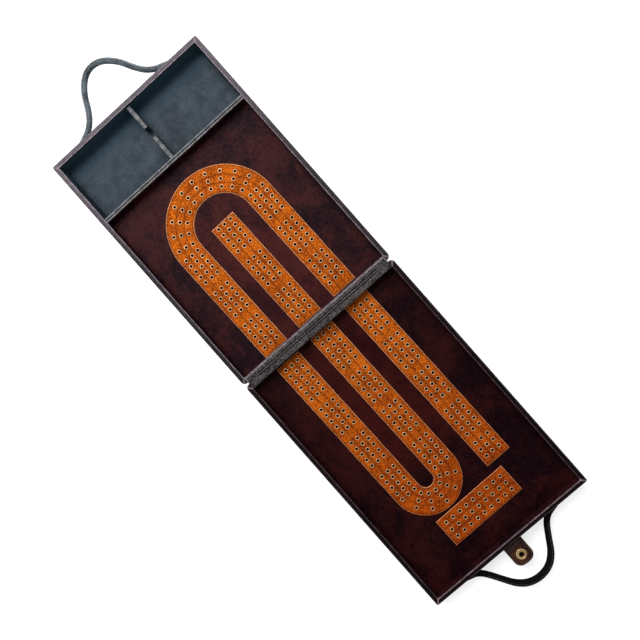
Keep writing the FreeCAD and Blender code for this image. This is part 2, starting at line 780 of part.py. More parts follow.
def handle_fixings(name, side):
    """The flattened ends of the handle's leather, and the rivets that hold them."""
    ends = []
    rivets = []
    holes = []
    for end, across in anchor_places().items():
        label = f"{name}_{end}"
        holes.append(rivet_hole(f"{label}_hole", side, across))
        half = size.anchor_length / 2
        up = (HANDLE_HEIGHT - size.anchor_height / 2, HANDLE_HEIGHT + size.anchor_height / 2)
        reach = (END_FACE, END_FACE + size.anchor_thickness)
        flat = block(f"{label}_flat", side, reach, (across - half, across + half), up)
        flat = round_along(f"{label}_flat", flat, "X", size.anchor_corner)
        ends.append(cut(f"{label}_flat", flat, holes[-1]))
        rivets.append(rivet(f"{label}_rivet", side, across))
    sub_part(compound(f"{name}_flats", ends), f"{name}_handle_anchors")
    sub_part(compound(f"{name}_rivets", rivets), f"{name}_handle_rivets")
    return holes


# ---------------------------------------------------------------- snap tab


def snap_stud():
    """The brass stud on the card tray's end wall: a flange, a post and a shank."""
    flange_top = size.stud_base_thickness
    inner = -size.cover_leather - size.shank_depth
    post_top = flange_top + size.stud_reach
    flange = rod("stud_flange", CARD, ZERO, STUD_HEIGHT, size.stud_base, (ZERO, flange_top))
    post = rod("stud_post", CARD, ZERO, STUD_HEIGHT, size.stud_diameter, (flange_top, post_top))
    shank = rod("stud_shank", CARD, ZERO, STUD_HEIGHT, size.rivet_shank, (inner, ZERO))
    sub_part(fuse("stud", flange, post, shank), "snap_stud")
    width = size.rivet_shank + size.drill_clearance * 2
    return rod("stud_hole", CARD, ZERO, STUD_HEIGHT, width, (inner, ZERO))


def tab_outline(name, low, high):
    """One leather of the tab, with rounded tip corners and a rounded root."""
    body, sketch = body_with_sketch(name, "XY_Plane")
    half = size.tab_width / 2
    corner = size.tab_corner
    root = END_FACE + size.tab_standoff
    tip = root + size.tab_reach
    front = -half
    corners = [(root, front), (tip - corner, front), (tip, front + corner), (tip, half - corner)]
    corners += [(tip - corner, half), (root, half)]
    bends = {
        1: ((tip - corner, front + corner), corner, 1),
        3: ((tip - corner, half - corner), corner, 1),
    }
    closed_outline(sketch, corners, bends)
    pad(body, sketch, high - low)
    bind(body, "Placement.Base.z", low)
    return body


def tab_root(name, low, high):
    """The quarter round at the tab's bend, on one of its leathers."""
    made = doc.addObject("Part::Cylinder", f"{name}_round")
    turn = FreeCAD.Rotation(FreeCAD.Vector(1, 0, 0), -90)
    made.Placement = FreeCAD.Placement(FreeCAD.Vector(), turn)
    bind(made, "Radius", size.tab_layer)
    bind(made, "Height", size.tab_width)
    bind(made, "Placement.Base.x", END_FACE + size.tab_standoff)
    bind(made, "Placement.Base.y", -size.tab_width / 2)
    bind(made, "Placement.Base.z", TAB_HEIGHT)
    reach = (END_FACE, END_FACE + size.tab_standoff)
    side_of_bend = block(f"{name}_quarter", BOARD, reach, both_ways(size.tab_width), (low, high))
    return shared(name, made, side_of_bend)


def tab_leather(name, low, high):
    """A finished leather of the tab, with the hole for the socket."""
    joined = fuse(name, tab_outline(name, low, high), tab_root(f"{name}_root", low, high))
    width = size.socket_barrel + size.drill_clearance * 2
    x = END_FACE + size.tab_standoff + size.socket_reach
    hole = upright(f"{name}_hole", x, ZERO, low, high, width)
    return cut(name, joined, hole)


def snap_tab():
    """The tab's two leathers, its brass socket and cap, and the leather on the wall."""
    top = TAB_HEIGHT + size.tab_layer
    bottom = TAB_HEIGHT - size.tab_layer
    sub_part(tab_leather("tab_upper", TAB_HEIGHT, top), "snap_tab_lining")
    sub_part(tab_leather("tab_lower", bottom, TAB_HEIGHT), "snap_tab_leather")
    x = END_FACE + size.tab_standoff + size.socket_reach
    face = top + size.socket_rise
    ring = upright("socket_ring", x, ZERO, top, face, size.socket_diameter)
    barrel = upright("socket_tube", x, ZERO, bottom, top, size.socket_barrel)
    bore = upright("socket_bore", x, ZERO, bottom, face, size.socket_bore)
    sub_part(cut("socket", fuse("socket", ring, barrel), bore), "snap_socket")
    under = bottom - size.cap_thickness
    sub_part(upright("cap", x, ZERO, under, bottom, size.cap_diameter), "snap_cap")
    reach = (END_FACE, END_FACE + size.tab_standoff - size.tab_layer - size.tab_gap)
    along = both_ways(size.tab_width / 2)
    anchor_low = TAB_HEIGHT - size.tab_anchor_height
    sub_part(block("tab_anchor", BOARD, reach, along, (anchor_low, top)), "snap_tab_anchor")


# ---------------------------------------------------------------- the whole case


def hinge_fold():
    """The rolled fold of the hinge leather, between its two leaves."""
    made = doc.addObject("Part::Cylinder", "fold")
    turn = FreeCAD.Rotation(FreeCAD.Vector(1, 0, 0), -90)
    made.Placement = FreeCAD.Placement(FreeCAD.Vector(), turn)
    bind(made, "Radius", HINGE_FACE - size.fold_clearance)
    bind(made, "Height", SIDE_CLEAR * 2)
    bind(made, "Placement.Base.y", -SIDE_CLEAR)
    bind(made, "Placement.Base.z", RIM - HINGE_FACE + size.fold_clearance)
    sub_part(made, "hinge_fold")


def partition():
    """The core board between the card pockets and the playing surface."""
    up = (PANEL_TOP, UNDER_RIM - size.partition_groove)
    core = block("partition", CARD, (CORE_NEAR, CORE_FAR), both_ways(SIDE_WOOD_IN), up)
    sub_part(core, "card_partition")


def finger_notch():
    """The round-bottomed notch through the divider, by which a deck is lifted out."""
    radius = size.notch_width / 2
    across = both_ways(size.divider_thickness)
    low = DIVIDER_TOP - size.notch_depth + radius
    span = (POCKET_MIDDLE - radius, POCKET_MIDDLE + radius)
    slot = block("notch_slot", CARD, span, across, (low, OVER_RIM))
    round_end = doc.addObject("Part::Cylinder", "notch_round")
    turn = FreeCAD.Rotation(FreeCAD.Vector(1, 0, 0), -90)
    round_end.Placement = FreeCAD.Placement(FreeCAD.Vector(), turn)
    bind(round_end, "Radius", radius)
    bind(round_end, "Height", size.divider_thickness * 2)
    bind(round_end, "Placement.Base.x", -POCKET_MIDDLE)
    bind(round_end, "Placement.Base.y", -size.divider_thickness)
    bind(round_end, "Placement.Base.z", low)
    return fuse("notch", slot, round_end)


def divider(notch):
    """The core between the two card pockets, and the leather strip on its top."""
    up = (PANEL_TOP, DIVIDER_TOP)
    core = block("divider", CARD, (CORE_FAR, END_WOOD_IN), both_ways(DIVIDER_CORE), up)
    sub_part(cut("divider", core, notch), "deck_divider")
    cap_up = (DIVIDER_TOP, DIVIDER_CAP_TOP)
    cap = block("divider_cap", CARD, (POCKET_NEAR, END_CLEAR), both_ways(DIVIDER_FACE), cap_up)
    sub_part(cut("divider_cap", cap, notch), "deck_divider_cap")


def pocket_lining(name, outside, inside, divider_side, notch):
    """The leather box that lines one card pocket, lower along the divider."""
    across = (CORE_FAR, END_WOOD_IN)
    shell = block(f"{name}_shell", CARD, across, outside, (PANEL_TOP, UNDER_RIM))
    floor = PANEL_TOP + size.lining_leather
    hollow = block(f"{name}_hollow", CARD, (POCKET_NEAR, END_CLEAR), inside, (floor, OVER_RIM))
    low_side = block(f"{name}_low", CARD, (POCKET_NEAR, END_CLEAR), divider_side, (DIVIDER_TOP, OVER_RIM))
    sub_part(cut(name, shell, hollow, low_side, notch), f"{name}_pocket_lining")


def card_tray():
    """The tray that holds the two decks and half of the track."""
    holes = handle_fixings("card", CARD) + [snap_stud()]
    wood = leather_block("card_wood", CARD, size.cover_leather, size.cover_leather, UNDER_RIM)
    pins = drills("card", card_holes())
    outer_leather("card", CARD, wood, holes)
    bottom_panel("card", CARD, wood)
    wooden_frame("card", CARD, wood, holes)
    playing_surface("card", CARD, CORE_NEAR, pins)
    wall_lining("card", CARD, CORE_NEAR, PARTITION_NEAR)
    partition()
    notch = finger_notch()
    divider(notch)
    rear = ((DIVIDER_CORE, SIDE_WOOD_IN), (DIVIDER_FACE, SIDE_CLEAR), (DIVIDER_CORE, DIVIDER_FACE))
    front = tuple((-outer, -inner) for inner, outer in rear)
    pocket_lining("rear", *rear, notch)
    pocket_lining("front", *front, notch)
    hinge_leaf("card", CARD)
    turn = turning_track("card_turn", CARD, CARD_TURN, CARD_TURN_RADIUS)
    middle = lane_strip("card_middle", CARD, "three", MIDDLE_END)
    sub_part(cut("card_turn", turn, pins), "card_turn_track")
    sub_part(cut("card_middle", middle, pins), "card_middle_track")
    sub_part(copies("card_eyelets", eyelet("card_eyelet"), card_holes()), "card_tray_eyelets")
    handle_loop("card", CARD)


def board_tray():
    """The tray that holds the rest of the track and the games counter."""
    holes = handle_fixings("board", BOARD)
    wood = leather_block("board_wood", BOARD, size.cover_leather, size.cover_leather, UNDER_RIM)
    pins = drills("board", board_holes())
    outer_leather("board", BOARD, wood, holes)
    bottom_panel("board", BOARD, wood)
    wooden_frame("board", BOARD, wood, holes)
    playing_surface("board", BOARD, END_WOOD_IN, pins)
    wall_lining("board", BOARD, END_WOOD_IN, END_CLEAR)
    hinge_leaf("board", BOARD)
    turn = turning_track("board_turn", BOARD, BOARD_TURN, BOARD_TURN_RADIUS)
    rear = lane_strip("board_rear", BOARD, "one", REAR_END)
    sub_part(cut("board_turn", turn, pins), "board_turn_track")
    sub_part(cut("board_rear", rear, pins), "board_rear_track")
    sub_part(cut("games", games_plate("games_plate"), pins), "games_counter_track")
    sub_part(copies("board_eyelets", eyelet("board_eyelet"), board_holes()), "board_tray_eyelets")
    handle_loop("board", BOARD)
    snap_tab()


def check_and_write():
    """Stops at anything that failed to build, then writes each sub-part's file."""
    doc.recompute()
    for thing in doc.Objects:
        if "Invalid" in thing.State or "Error" in thing.State:
            raise RuntimeError(f"{thing.Name} failed: {thing.State}")
    os.makedirs("parts", exist_ok=True)
    for piece in sub_parts:
        if piece.Shape.isNull() or not piece.Shape.isValid() or not piece.Shape.Solids:
            raise RuntimeError(f"{piece.Label} has no valid solid")
        piece.Shape.exportStep(f"parts/{piece.Label}.step")
        print(piece.Label, len(piece.Shape.Solids), round(piece.Shape.Volume, 1))


card_tray()
board_tray()
hinge_fold()
check_and_write()
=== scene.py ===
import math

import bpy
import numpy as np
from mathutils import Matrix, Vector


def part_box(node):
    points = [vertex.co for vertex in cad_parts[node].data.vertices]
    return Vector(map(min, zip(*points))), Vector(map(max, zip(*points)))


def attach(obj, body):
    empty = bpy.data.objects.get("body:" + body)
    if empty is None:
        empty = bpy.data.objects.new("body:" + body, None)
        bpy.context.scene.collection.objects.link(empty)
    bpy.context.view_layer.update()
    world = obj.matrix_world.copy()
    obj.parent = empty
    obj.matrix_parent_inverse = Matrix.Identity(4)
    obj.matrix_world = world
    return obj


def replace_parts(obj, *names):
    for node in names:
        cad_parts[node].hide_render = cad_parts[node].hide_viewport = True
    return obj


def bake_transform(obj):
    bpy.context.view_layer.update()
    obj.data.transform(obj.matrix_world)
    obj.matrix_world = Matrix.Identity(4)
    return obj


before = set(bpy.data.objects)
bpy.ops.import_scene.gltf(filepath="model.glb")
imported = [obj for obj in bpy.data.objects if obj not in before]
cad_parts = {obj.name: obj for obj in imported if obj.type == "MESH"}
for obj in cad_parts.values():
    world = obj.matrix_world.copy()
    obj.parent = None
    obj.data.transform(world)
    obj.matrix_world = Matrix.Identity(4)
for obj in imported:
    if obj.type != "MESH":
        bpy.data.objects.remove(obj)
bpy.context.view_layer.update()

# %% [markdown]
# # A folding cribbage case in leather
# Two shallow trays lie open on a table, joined along their rims by a strip of leather. The packed
# frame already holds every piece at its real size. This lesson gives the pieces that show their
# real surfaces: soft edges, folded corners, stitches, rolled handles and set eyelets. Each new
# surface is computed with numpy as whole arrays of points, and each finish is a small tree of
# shader nodes.

# %% [markdown]
# ## The camera
# A case this flat is best seen from almost straight above, a little in front of its middle. The
# camera is turned about its own axis, so that the case runs from corner to corner of the picture.
# A camera looks along its own -Z axis, so a matrix that turns the case's axes into the camera's
# is inverted to place it. This comes first because every later choice is judged through it.

# %% Camera
MM = 0.001
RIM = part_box("card_tray_side_leather")[1][2]
PICTURE = 640
FOCAL_PIXELS = 656.87
SENSOR = 36
CAMERA_PLACE = Vector((0.51 * MM, 43.71 * MM, RIM + 678.6 * MM))
CAMERA_TILT = math.radians(3.36)
CAMERA_ROLL = math.radians(-0.068)
CAMERA_TURN = math.radians(-48.625)

scene = bpy.context.scene
camera = bpy.data.objects.new("camera", bpy.data.cameras.new("camera"))
scene.collection.objects.link(camera)
scene.camera = camera
camera.data.sensor_width = SENSOR
camera.data.lens = FOCAL_PIXELS / PICTURE * SENSOR
camera.data.clip_start = 0.01
into_camera = (
    Matrix.Rotation(CAMERA_TURN, 3, "Z")
    @ Matrix.Rotation(CAMERA_ROLL, 3, "Y")
    @ Matrix.Rotation(CAMERA_TILT, 3, "X")
)
camera.matrix_world = Matrix.Translation(CAMERA_PLACE) @ into_camera.transposed().to_4x4()
print("lens", round(camera.data.lens, 2), "mm, looking down from", round(CAMERA_PLACE.z, 3), "m")

# %% [markdown]
# ## Grids of points, and pieces made from them
# Nearly every piece here is a grid: points in rows and columns, with a four-sided face between
# each two rows and columns. A rolled handle, a strip of leather and a turned rivet are all a grid
# whose columns close into a ring. Two end caps then make it a closed shell. Making the shapes
# this way keeps every point a formula, and numpy works out all of them at once.

# %% Faces of a grid


def grid_faces(rows, columns, wrap_rows=False, wrap_columns=False):
    """Quads between neighbouring rows and columns of points that are numbered row by row."""
    row = np.arange(rows if wrap_rows else rows - 1)[:, None]
    column = np.arange(columns if wrap_columns else columns - 1)[None, :]
    below, beside = (row + 1) % rows, (column + 1) % columns
    corners = [row * columns + column, row * columns + beside, below * columns + beside,
               below * columns + column]
    shape = len(row), column.size
    return np.stack([np.broadcast_to(corner, shape) for corner in corners], -1).reshape(-1, 4)


def cap_faces(first, columns):
    """Quads across a ring of points: point k is joined to the point as far back from the end."""
    near = np.arange(columns // 2 - 1)
    far = columns - 1 - near
    return first + np.stack([near, near + 1, far - 1, far], -1)


# %% From arrays to an object


def outward(points, quads):
    """Turns all faces over if the volume that they enclose comes out negative.

    The volume is a sixth of the sum of a . (b x c) over the triangles of each face.
    """
    a, b, c, d = (points[quads[:, k]] for k in range(4))
    volume = np.einsum("ij,ij->", a, np.cross(b, c)) + np.einsum("ij,ij->", a, np.cross(c, d))
    return quads if volume > 0 else quads[:, ::-1]


def piece(name, points, quads, material, body, masks=None):
    """A smooth mesh object from points in millimetres, riding on a body, with its masks."""
    points = np.ascontiguousarray(np.asarray(points) * MM, np.float32).reshape(-1, 3)
    quads = np.ascontiguousarray(quads, np.int32)
    mesh = bpy.data.meshes.new(name)
    mesh.vertices.add(len(points))
    mesh.vertices.foreach_set("co", points.ravel())
    mesh.loops.add(quads.size)
    mesh.loops.foreach_set("vertex_index", quads.ravel())
    mesh.polygons.add(len(quads))
    mesh.polygons.foreach_set("loop_start", np.arange(0, quads.size, 4, dtype=np.int32))
    mesh.polygons.foreach_set("use_smooth", np.ones(len(quads), bool))
    for label, values in (masks or {}).items():
        mask = mesh.attributes.new(label, "FLOAT", "POINT")
        mask.data.foreach_set("value", np.asarray(values, np.float32).ravel())
    mesh.update(calc_edges=True)
    mesh.materials.append(material)
    made = bpy.data.objects.new(name, mesh)
    scene.collection.objects.link(made)
    if body:
        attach(made, body)
    print(f"{name}: {len(points)} points, {len(quads)} faces")
    return made


def shell(name, rings, material, body, closed=False, masks=None):
    """A closed shell from rings of points: capped at both ends, or joined end to end."""
    count, around = rings.shape[:2]
    quads = grid_faces(count, around, wrap_rows=closed, wrap_columns=True)
    points = rings.reshape(-1, 3)
    if not closed:
        last = cap_faces((count - 1) * around, around)
        quads = np.concatenate([quads, cap_faces(0, around)[:, ::-1], last])
    return piece(name, points, outward(points, quads), material, body, masks)


# %% Smooth steps, bumps and hand-made unevenness


def step(low, high, value):
    """0 below low, 1 above high, and a smooth S of 3t^2 - 2t^3 between them.

    With low above high it runs the other way, from 1 down to 0.
    """
    share = np.clip((np.asarray(value, float) - low) / (high - low), 0, 1)
    return share * share * (3 - 2 * share)


def bell(value, middle, width):
    """A bump of height 1: e to the power of minus the square of (value - middle) / width."""
    return np.exp(-(((value - middle) / width) ** 2))


def waver(along, size, wavelength, seed):
    """A slow unevenness: four sine waves of falling height and chance phase, added together."""
    phases = np.random.default_rng(seed).uniform(0, 2 * np.pi, 4)
    waves = [np.sin(2 * np.pi * along / wavelength * (1 + 0.7 * k) + phases[k]) / (1 + k)
             for k in range(4)]
    return size * sum(waves) / 2


def raised(flat, height):
    """Flat places or headings with a third column, which is the same height for all."""
    return np.concatenate([flat, np.full((len(flat), 1), float(height))], -1)


# %% [markdown]
# ## Leather as a node group
# All the leather on this case is dyed by hand and then finished, so it has three things in
# common. Its colour drifts in clouds between a deep and a pale tone, its grain is a net of fine
# pebbles, and its cut edges are rubbed paler. A node group holds that recipe once, and each
# material gives it its own colours and scales. The group puts out plain colours and values. The
# shader stays outside it.

# %% Helpers for node trees


def join(tree, value, socket):
    """Links a socket, or writes a plain value."""
    if isinstance(value, bpy.types.NodeSocket):
        tree.links.new(value, socket)
    else:
        socket.default_value = value


def add(tree, kind, **settings):
    """A new node with some of its settings or its sockets' values given by name."""
    node = tree.nodes.new(kind)
    for name, value in settings.items():
        if hasattr(node, name):
            setattr(node, name, value)
        else:
            node.inputs[name.replace("_", " ")].default_value = value
    return node


def mix_colours(tree, share, first, second, blend="MIX"):
    """A colour between two: each argument is a socket or a plain value."""
    node = tree.nodes.new("ShaderNodeMix")
    node.data_type = "RGBA"
    node.blend_type = blend
    for place, value in ((0, share), (6, first), (7, second)):
        join(tree, value, node.inputs[place])
    return node.outputs[2]


def maths(tree, operation, *values):
    """One arithmetic step on sockets or plain numbers."""
    node = tree.nodes.new("ShaderNodeMath")
    node.operation = operation
    for place, value in enumerate(values):
        join(tree, value, node.inputs[place])
    return node.outputs[0]


def span(tree, value, low, high, to_low=0.0, to_high=1.0):
    """Maps a value from one range to another, held at both ends."""
    node = add(tree, "ShaderNodeMapRange")
    for place, number in enumerate((value, low, high, to_low, to_high)):
        join(tree, number, node.inputs[place])
    return node.outputs[0]


def noise(tree, place, scale, **settings):
    """Smooth noise of a scale per metre, read at a place."""
    node = add(tree, "ShaderNodeTexNoise", **settings)
    join(tree, place, node.inputs["Vector"])
    join(tree, scale, node.inputs["Scale"])
    return node.outputs[0]


def object_place(tree):
    """The place on the case: every finished piece sits at the origin, so patterns don't slide."""
    return add(tree, "ShaderNodeTexCoord").outputs["Object"]


def mask(tree, name):
    """A piece's own mask. A piece without it reads as zero."""
    return add(tree, "ShaderNodeAttribute", attribute_name=name).outputs["Fac"]


def new_material(name):
    """A material with nodes, with its tree and its shader."""
    material = bpy.data.materials.new(name)
    material.use_nodes = True
    return material, material.node_tree, material.node_tree.nodes["Principled BSDF"]


def emboss(tree, shader, height, strength, distance):
    """Tilts a shader's surface by the slope of a height."""
    bump = add(tree, "ShaderNodeBump", Strength=strength, Distance=distance)
    join(tree, height, bump.inputs["Height"])
    join(tree, bump.outputs["Normal"], shader.inputs["Normal"])


def new_group(name, inputs, outputs):
    """An empty node group: inputs are (name, kind, value), outputs are (name, kind)."""
    tree = bpy.data.node_groups.new(name, "ShaderNodeTree")
    for label, kind, value in inputs:
        socket = tree.interface.new_socket(label, in_out="INPUT", socket_type=f"NodeSocket{kind}")
        if kind != "Vector":
            socket.default_value = value
    for label, kind in outputs:
        tree.interface.new_socket(label, in_out="OUTPUT", socket_type=f"NodeSocket{kind}")
    return tree, tree.nodes.new("NodeGroupInput").outputs, tree.nodes.new("NodeGroupOutput").inputs


# %% The leather group
BLACK = (0, 0, 0, 1)
PIT_TINT = (0.25, 0.22, 0.2, 1)
SHADE_TINT = (0.06, 0.035, 0.03, 1)
leather_group, given, result = new_group(
    "dyed_leather",
    (("Place", "Vector", None), ("Deep", "Color", BLACK), ("Pale", "Color", BLACK),
     ("Worn_and_lit", "Color", BLACK), ("Clouds", "Float", 20.0), ("Pebbles", "Float", 900.0),
     ("Edge", "Float", 0.0), ("Dark", "Float", 0.0), ("Specks", "Float", 600.0),
     ("Cloudiness", "Float", 0.4)),
    (("Color", "Color"), ("Shine", "Float"), ("Grain", "Float")),
)
tree = leather_group

# %% Its tone: broad clouds, flecks nine times finer, and specks
clouds = noise(tree, given["Place"], given["Clouds"], Detail=6.0, Roughness=0.62, Distortion=0.7)
fleck_scale = maths(tree, "MULTIPLY", given["Clouds"], 9.0)
flecks = noise(tree, given["Place"], fleck_scale, Detail=8.0, Roughness=0.7)
specks = noise(tree, given["Place"], given["Specks"], Detail=3.0, Roughness=0.6)
drift = span(tree, clouds, 0.40, 0.62)
fleck = span(tree, flecks, 0.41, 0.60)
speck = span(tree, specks, 0.41, 0.60)
fine = maths(tree, "MULTIPLY", maths(tree, "ADD", fleck, speck), 0.5)
broad = maths(tree, "MULTIPLY", drift, given["Cloudiness"])
rest = maths(tree, "MULTIPLY", fine, maths(tree, "SUBTRACT", 1.0, given["Cloudiness"]))
blotch = span(tree, maths(tree, "ADD", broad, rest), 0.22, 0.74)
dye_and_shade = mix_colours(tree, blotch, given["Deep"], given["Pale"])

# %% Its pebbles with soiled hollows, its paler edges with painted highlights, and its painted shade
pebbles = add(tree, "ShaderNodeTexVoronoi")
join(tree, given["Place"], pebbles.inputs["Vector"])
join(tree, given["Pebbles"], pebbles.inputs["Scale"])
pit = span(tree, pebbles.outputs["Distance"], 0.35, 0.85)
dye_and_shade = mix_colours(tree, maths(tree, "MULTIPLY", pit, 0.35), dye_and_shade, PIT_TINT, "MULTIPLY")
# The edge mask lightens worn edges, and on some pieces it carries painted highlights and sheen too.
paled_edge = maths(tree, "MULTIPLY", given["Edge"], span(tree, speck, 0.0, 1.0, 0.4, 1.0))
dye_and_shade = mix_colours(tree, paled_edge, dye_and_shade, given["Worn_and_lit"])
# The dark mask multiplies in a painted shade.
shade = maths(tree, "MULTIPLY", given["Dark"], 0.8)
dye_and_shade = mix_colours(tree, shade, dye_and_shade, SHADE_TINT, "MULTIPLY")
join(tree, dye_and_shade, result["Color"])

# %% Its shine, which is added to a roughness, and its grain, which is a height
shine = maths(tree, "SUBTRACT", span(tree, fleck, 0.0, 1.0, 0.06, -0.05),
              maths(tree, "MULTIPLY", drift, 0.05))
grain = maths(tree, "ADD", maths(tree, "MULTIPLY", pit, -1.0), maths(tree, "MULTIPLY", speck, 0.9))
join(tree, shine, result["Shine"])
join(tree, grain, result["Grain"])
print("leather group:", len(tree.nodes), "nodes")

# %% [markdown]
# ## One material for each leather
# The same group serves the outer leather of each tray, the slate lining, the trim over cut edges,
# the hinge, the playing surfaces, the amber tracks, the handles and the tab. Where a piece
# carries a mask named edge, that mask says how near a point is to a cut or worn edge, and the
# material lightens it there; on some pieces that mask also holds painted highlights and sheen.
# A mask named dark paints shade into folds, creases, seams and grooves, and a shadow onto the
# tab's foot. The nodes of the frame carry no mask, so both read as zero on them and they keep an
# even tone.

# %% Leather materials


def leather(name, deep, pale, worn, clouds, pebbles, roughness, relief=0.35, specular=0.3,
            cloudiness=0.4, specks=600):
    """A leather from its deep, pale and worn tones, its scales per metre, roughness and reflection.

    Relief is the strength of its grain, and cloudiness the share of its tone that drifts broadly.
    The worn tone also paints the highlights and sheen that a piece's edge mask holds.
    """
    material, tree, shader = new_material(name)
    recipe = add(tree, "ShaderNodeGroup", node_tree=leather_group)
    values = {"Deep": (*deep, 1), "Pale": (*pale, 1), "Worn_and_lit": (*worn, 1), "Clouds": clouds,
              "Pebbles": pebbles, "Specks": specks, "Cloudiness": cloudiness,
              "Place": object_place(tree), "Edge": mask(tree, "edge"), "Dark": mask(tree, "dark")}
    for label, value in values.items():
        join(tree, value, recipe.inputs[label])
    roughened = maths(tree, "ADD", recipe.outputs["Shine"], roughness)
    join(tree, recipe.outputs["Color"], shader.inputs["Base Color"])
    join(tree, roughened, shader.inputs["Roughness"])
    shader.inputs["Specular IOR Level"].default_value = specular
    emboss(tree, shader, recipe.outputs["Grain"], relief, 0.0002)
    return material


# %% The outside of the case, the slate lining, the trim and the hinge
case_leather = leather(
    "case_leather", (0.006, 0.003, 0.005), (0.026, 0.015, 0.021), (0.36, 0.29, 0.33),
    18, 1500, 0.36, specular=0.18)
# A darker copy of the case leather for the board tray: painted shade for the tray further from the
# lamp. Its paler worn tone paints the highlight on the bead along its end.
dark_case_leather = leather(
    "dark_case_leather", (0.003, 0.0012, 0.002), (0.013, 0.006, 0.008), (0.50, 0.34, 0.36),
    18, 1500, 0.38, specular=0.06)
slate_leather = leather(
    "slate_leather", (0.008, 0.018, 0.028), (0.026, 0.042, 0.057), (0.34, 0.34, 0.34),
    14, 2200, 0.42, specular=0.16, cloudiness=0.55)
trim_leather = leather(
    "trim_leather", (0.010, 0.011, 0.012), (0.10, 0.10, 0.105), (0.46, 0.45, 0.45),
    120, 1600, 0.45, relief=0.7, specular=0.2, cloudiness=0.15, specks=800)
hinge_leather = leather(
    "hinge_leather", (0.006, 0.006, 0.007), (0.12, 0.100, 0.098), (0.60, 0.50, 0.49),
    60, 1300, 0.55, relief=0.9, specular=0.15, cloudiness=0.15, specks=800)

# %% The playing surfaces, the tracks, the handles and the tab
playing_leather = leather(
    "playing_leather", (0.0105, 0.0034, 0.0062), (0.047, 0.0100, 0.0098), (0.14, 0.05, 0.04),
    24, 2000, 0.42, specular=0.04, cloudiness=0.5)
# A darker copy of the playing leather for the board tray: painted shade for the tray further from
# the lamp.
dark_playing_leather = leather(
    "dark_playing_leather", (0.0075, 0.0017, 0.0032), (0.033, 0.0058, 0.0055), (0.12, 0.05, 0.04),
    20, 2000, 0.42, specular=0.03, cloudiness=0.5)
track_leather = leather(
    "track_leather", (0.17, 0.018, 0.001), (0.88, 0.190, 0.007), (1.0, 0.50, 0.23),
    70, 1500, 0.46, relief=0.8, specular=0.04, cloudiness=0.2, specks=1100)
# The two handles take lit and shaded copies of one leather: this near-black one, painted shade, is
# the board handle's; the paler teal one below, painted sheen and light, is the card handle's.
handle_leather = leather(
    "handle_leather", (0.0015, 0.001, 0.001), (0.006, 0.004, 0.004), (0.05, 0.035, 0.035),
    60, 1500, 0.46, relief=0.8, specular=0.06)
lit_handle_leather = leather(
    "lit_handle_leather", (0.018, 0.030, 0.038), (0.13, 0.165, 0.186), (0.42, 0.46, 0.49),
    60, 1500, 0.36, relief=0.8, specular=0.35)
tab_leather = leather(
    "tab_leather", (0.006, 0.002, 0.0015), (0.095, 0.026, 0.012), (0.30, 0.13, 0.08),
    90, 1500, 0.40, relief=0.6, specular=0.2)

# %% [markdown]
# ## Light and shade painted from place to place
# Some light and shade is painted into three leathers. The slate lining is painted paler by the
# end wall, as painted light in the wall's shade, the tracks are painted deeper and redder towards
# the end of the board, as painted shade, and the playing leather gets a painted red reflection of
# the tracks between the lanes. Painting masks by hand would do it too, but here a share worked
# out from the place on the case is enough, and one function brings the tone in for all three.

# %% Leathers with light and shade painted by place


def paint_light_by_place(material, tone, share_at, blend="MIX"):
    """Paints light and shade into a leather: a tone brought in by a share from a place's X and Y in
    metres.
    """
    tree = material.node_tree
    colour = tree.nodes["Principled BSDF"].inputs["Base Color"]
    parts = add(tree, "ShaderNodeSeparateXYZ")
    join(tree, object_place(tree), parts.inputs[0])
    share = share_at(tree, parts.outputs["X"], parts.outputs["Y"])
    dye_and_shade = colour.links[0].from_socket
    join(tree, mix_colours(tree, share, dye_and_shade, (*tone, 1), blend), colour)


def change_along(full, none):
    """A share of 1 at one distance along the case, falling evenly to 0 at another."""
    return lambda tree, x, y: span(tree, x, full, none, 1.0, 0.0)


def between_lanes(tree, x, y):
    """1 in the middle of a floor, fading out past the outer lanes and past their turns."""
    off_line = maths(tree, "ABSOLUTE", maths(tree, "ADD", y, 0.003))
    from_hinge = maths(tree, "ABSOLUTE", x)
    return maths(tree, "MULTIPLY", span(tree, off_line, 0.040, 0.056, 1.0, 0.0),
                 span(tree, from_hinge, 0.15, 0.21, 1.0, 0.0))


pocket_leather = slate_leather.copy()
pocket_leather.name = "pocket_leather"
# The pocket lining is painted paler by the end wall: painted light in the wall's shade.
paint_light_by_place(pocket_leather, (0.046, 0.092, 0.130), change_along(-0.302, -0.276))
# The tracks are painted deeper and redder towards the end of the board: painted shade.
paint_light_by_place(track_leather, (0.84, 0.66, 0.60), change_along(0.235, 0.06), "MULTIPLY")
# Both playing leathers get a painted red reflection of the tracks between the lanes.
paint_light_by_place(playing_leather, (0.013, 0.0010, 0.0), between_lanes, "ADD")
paint_light_by_place(dark_playing_leather, (0.011, 0.0008, 0.0), between_lanes, "ADD")
print("leathers made:", len(bpy.data.materials))

# %% [markdown]
# ## Brass, thread, wood and cord
# Brass that has been handled is bright where it is worn and dull where it isn't, and its
# hollows are darkened with painted shade. Thread is a twist of strands, which a wave texture
# draws as slanting bands. The wood under the leather shows only down the peg holes, where it
# should read as bare board. The cord is the stuffing of the handles.

# %% Brass
# A painted shade for the hollows of the brass: the eyelets' bores and funnels and the ring's bore.
HOLLOW_SHADE = (0.012, 0.007, 0.005, 1)


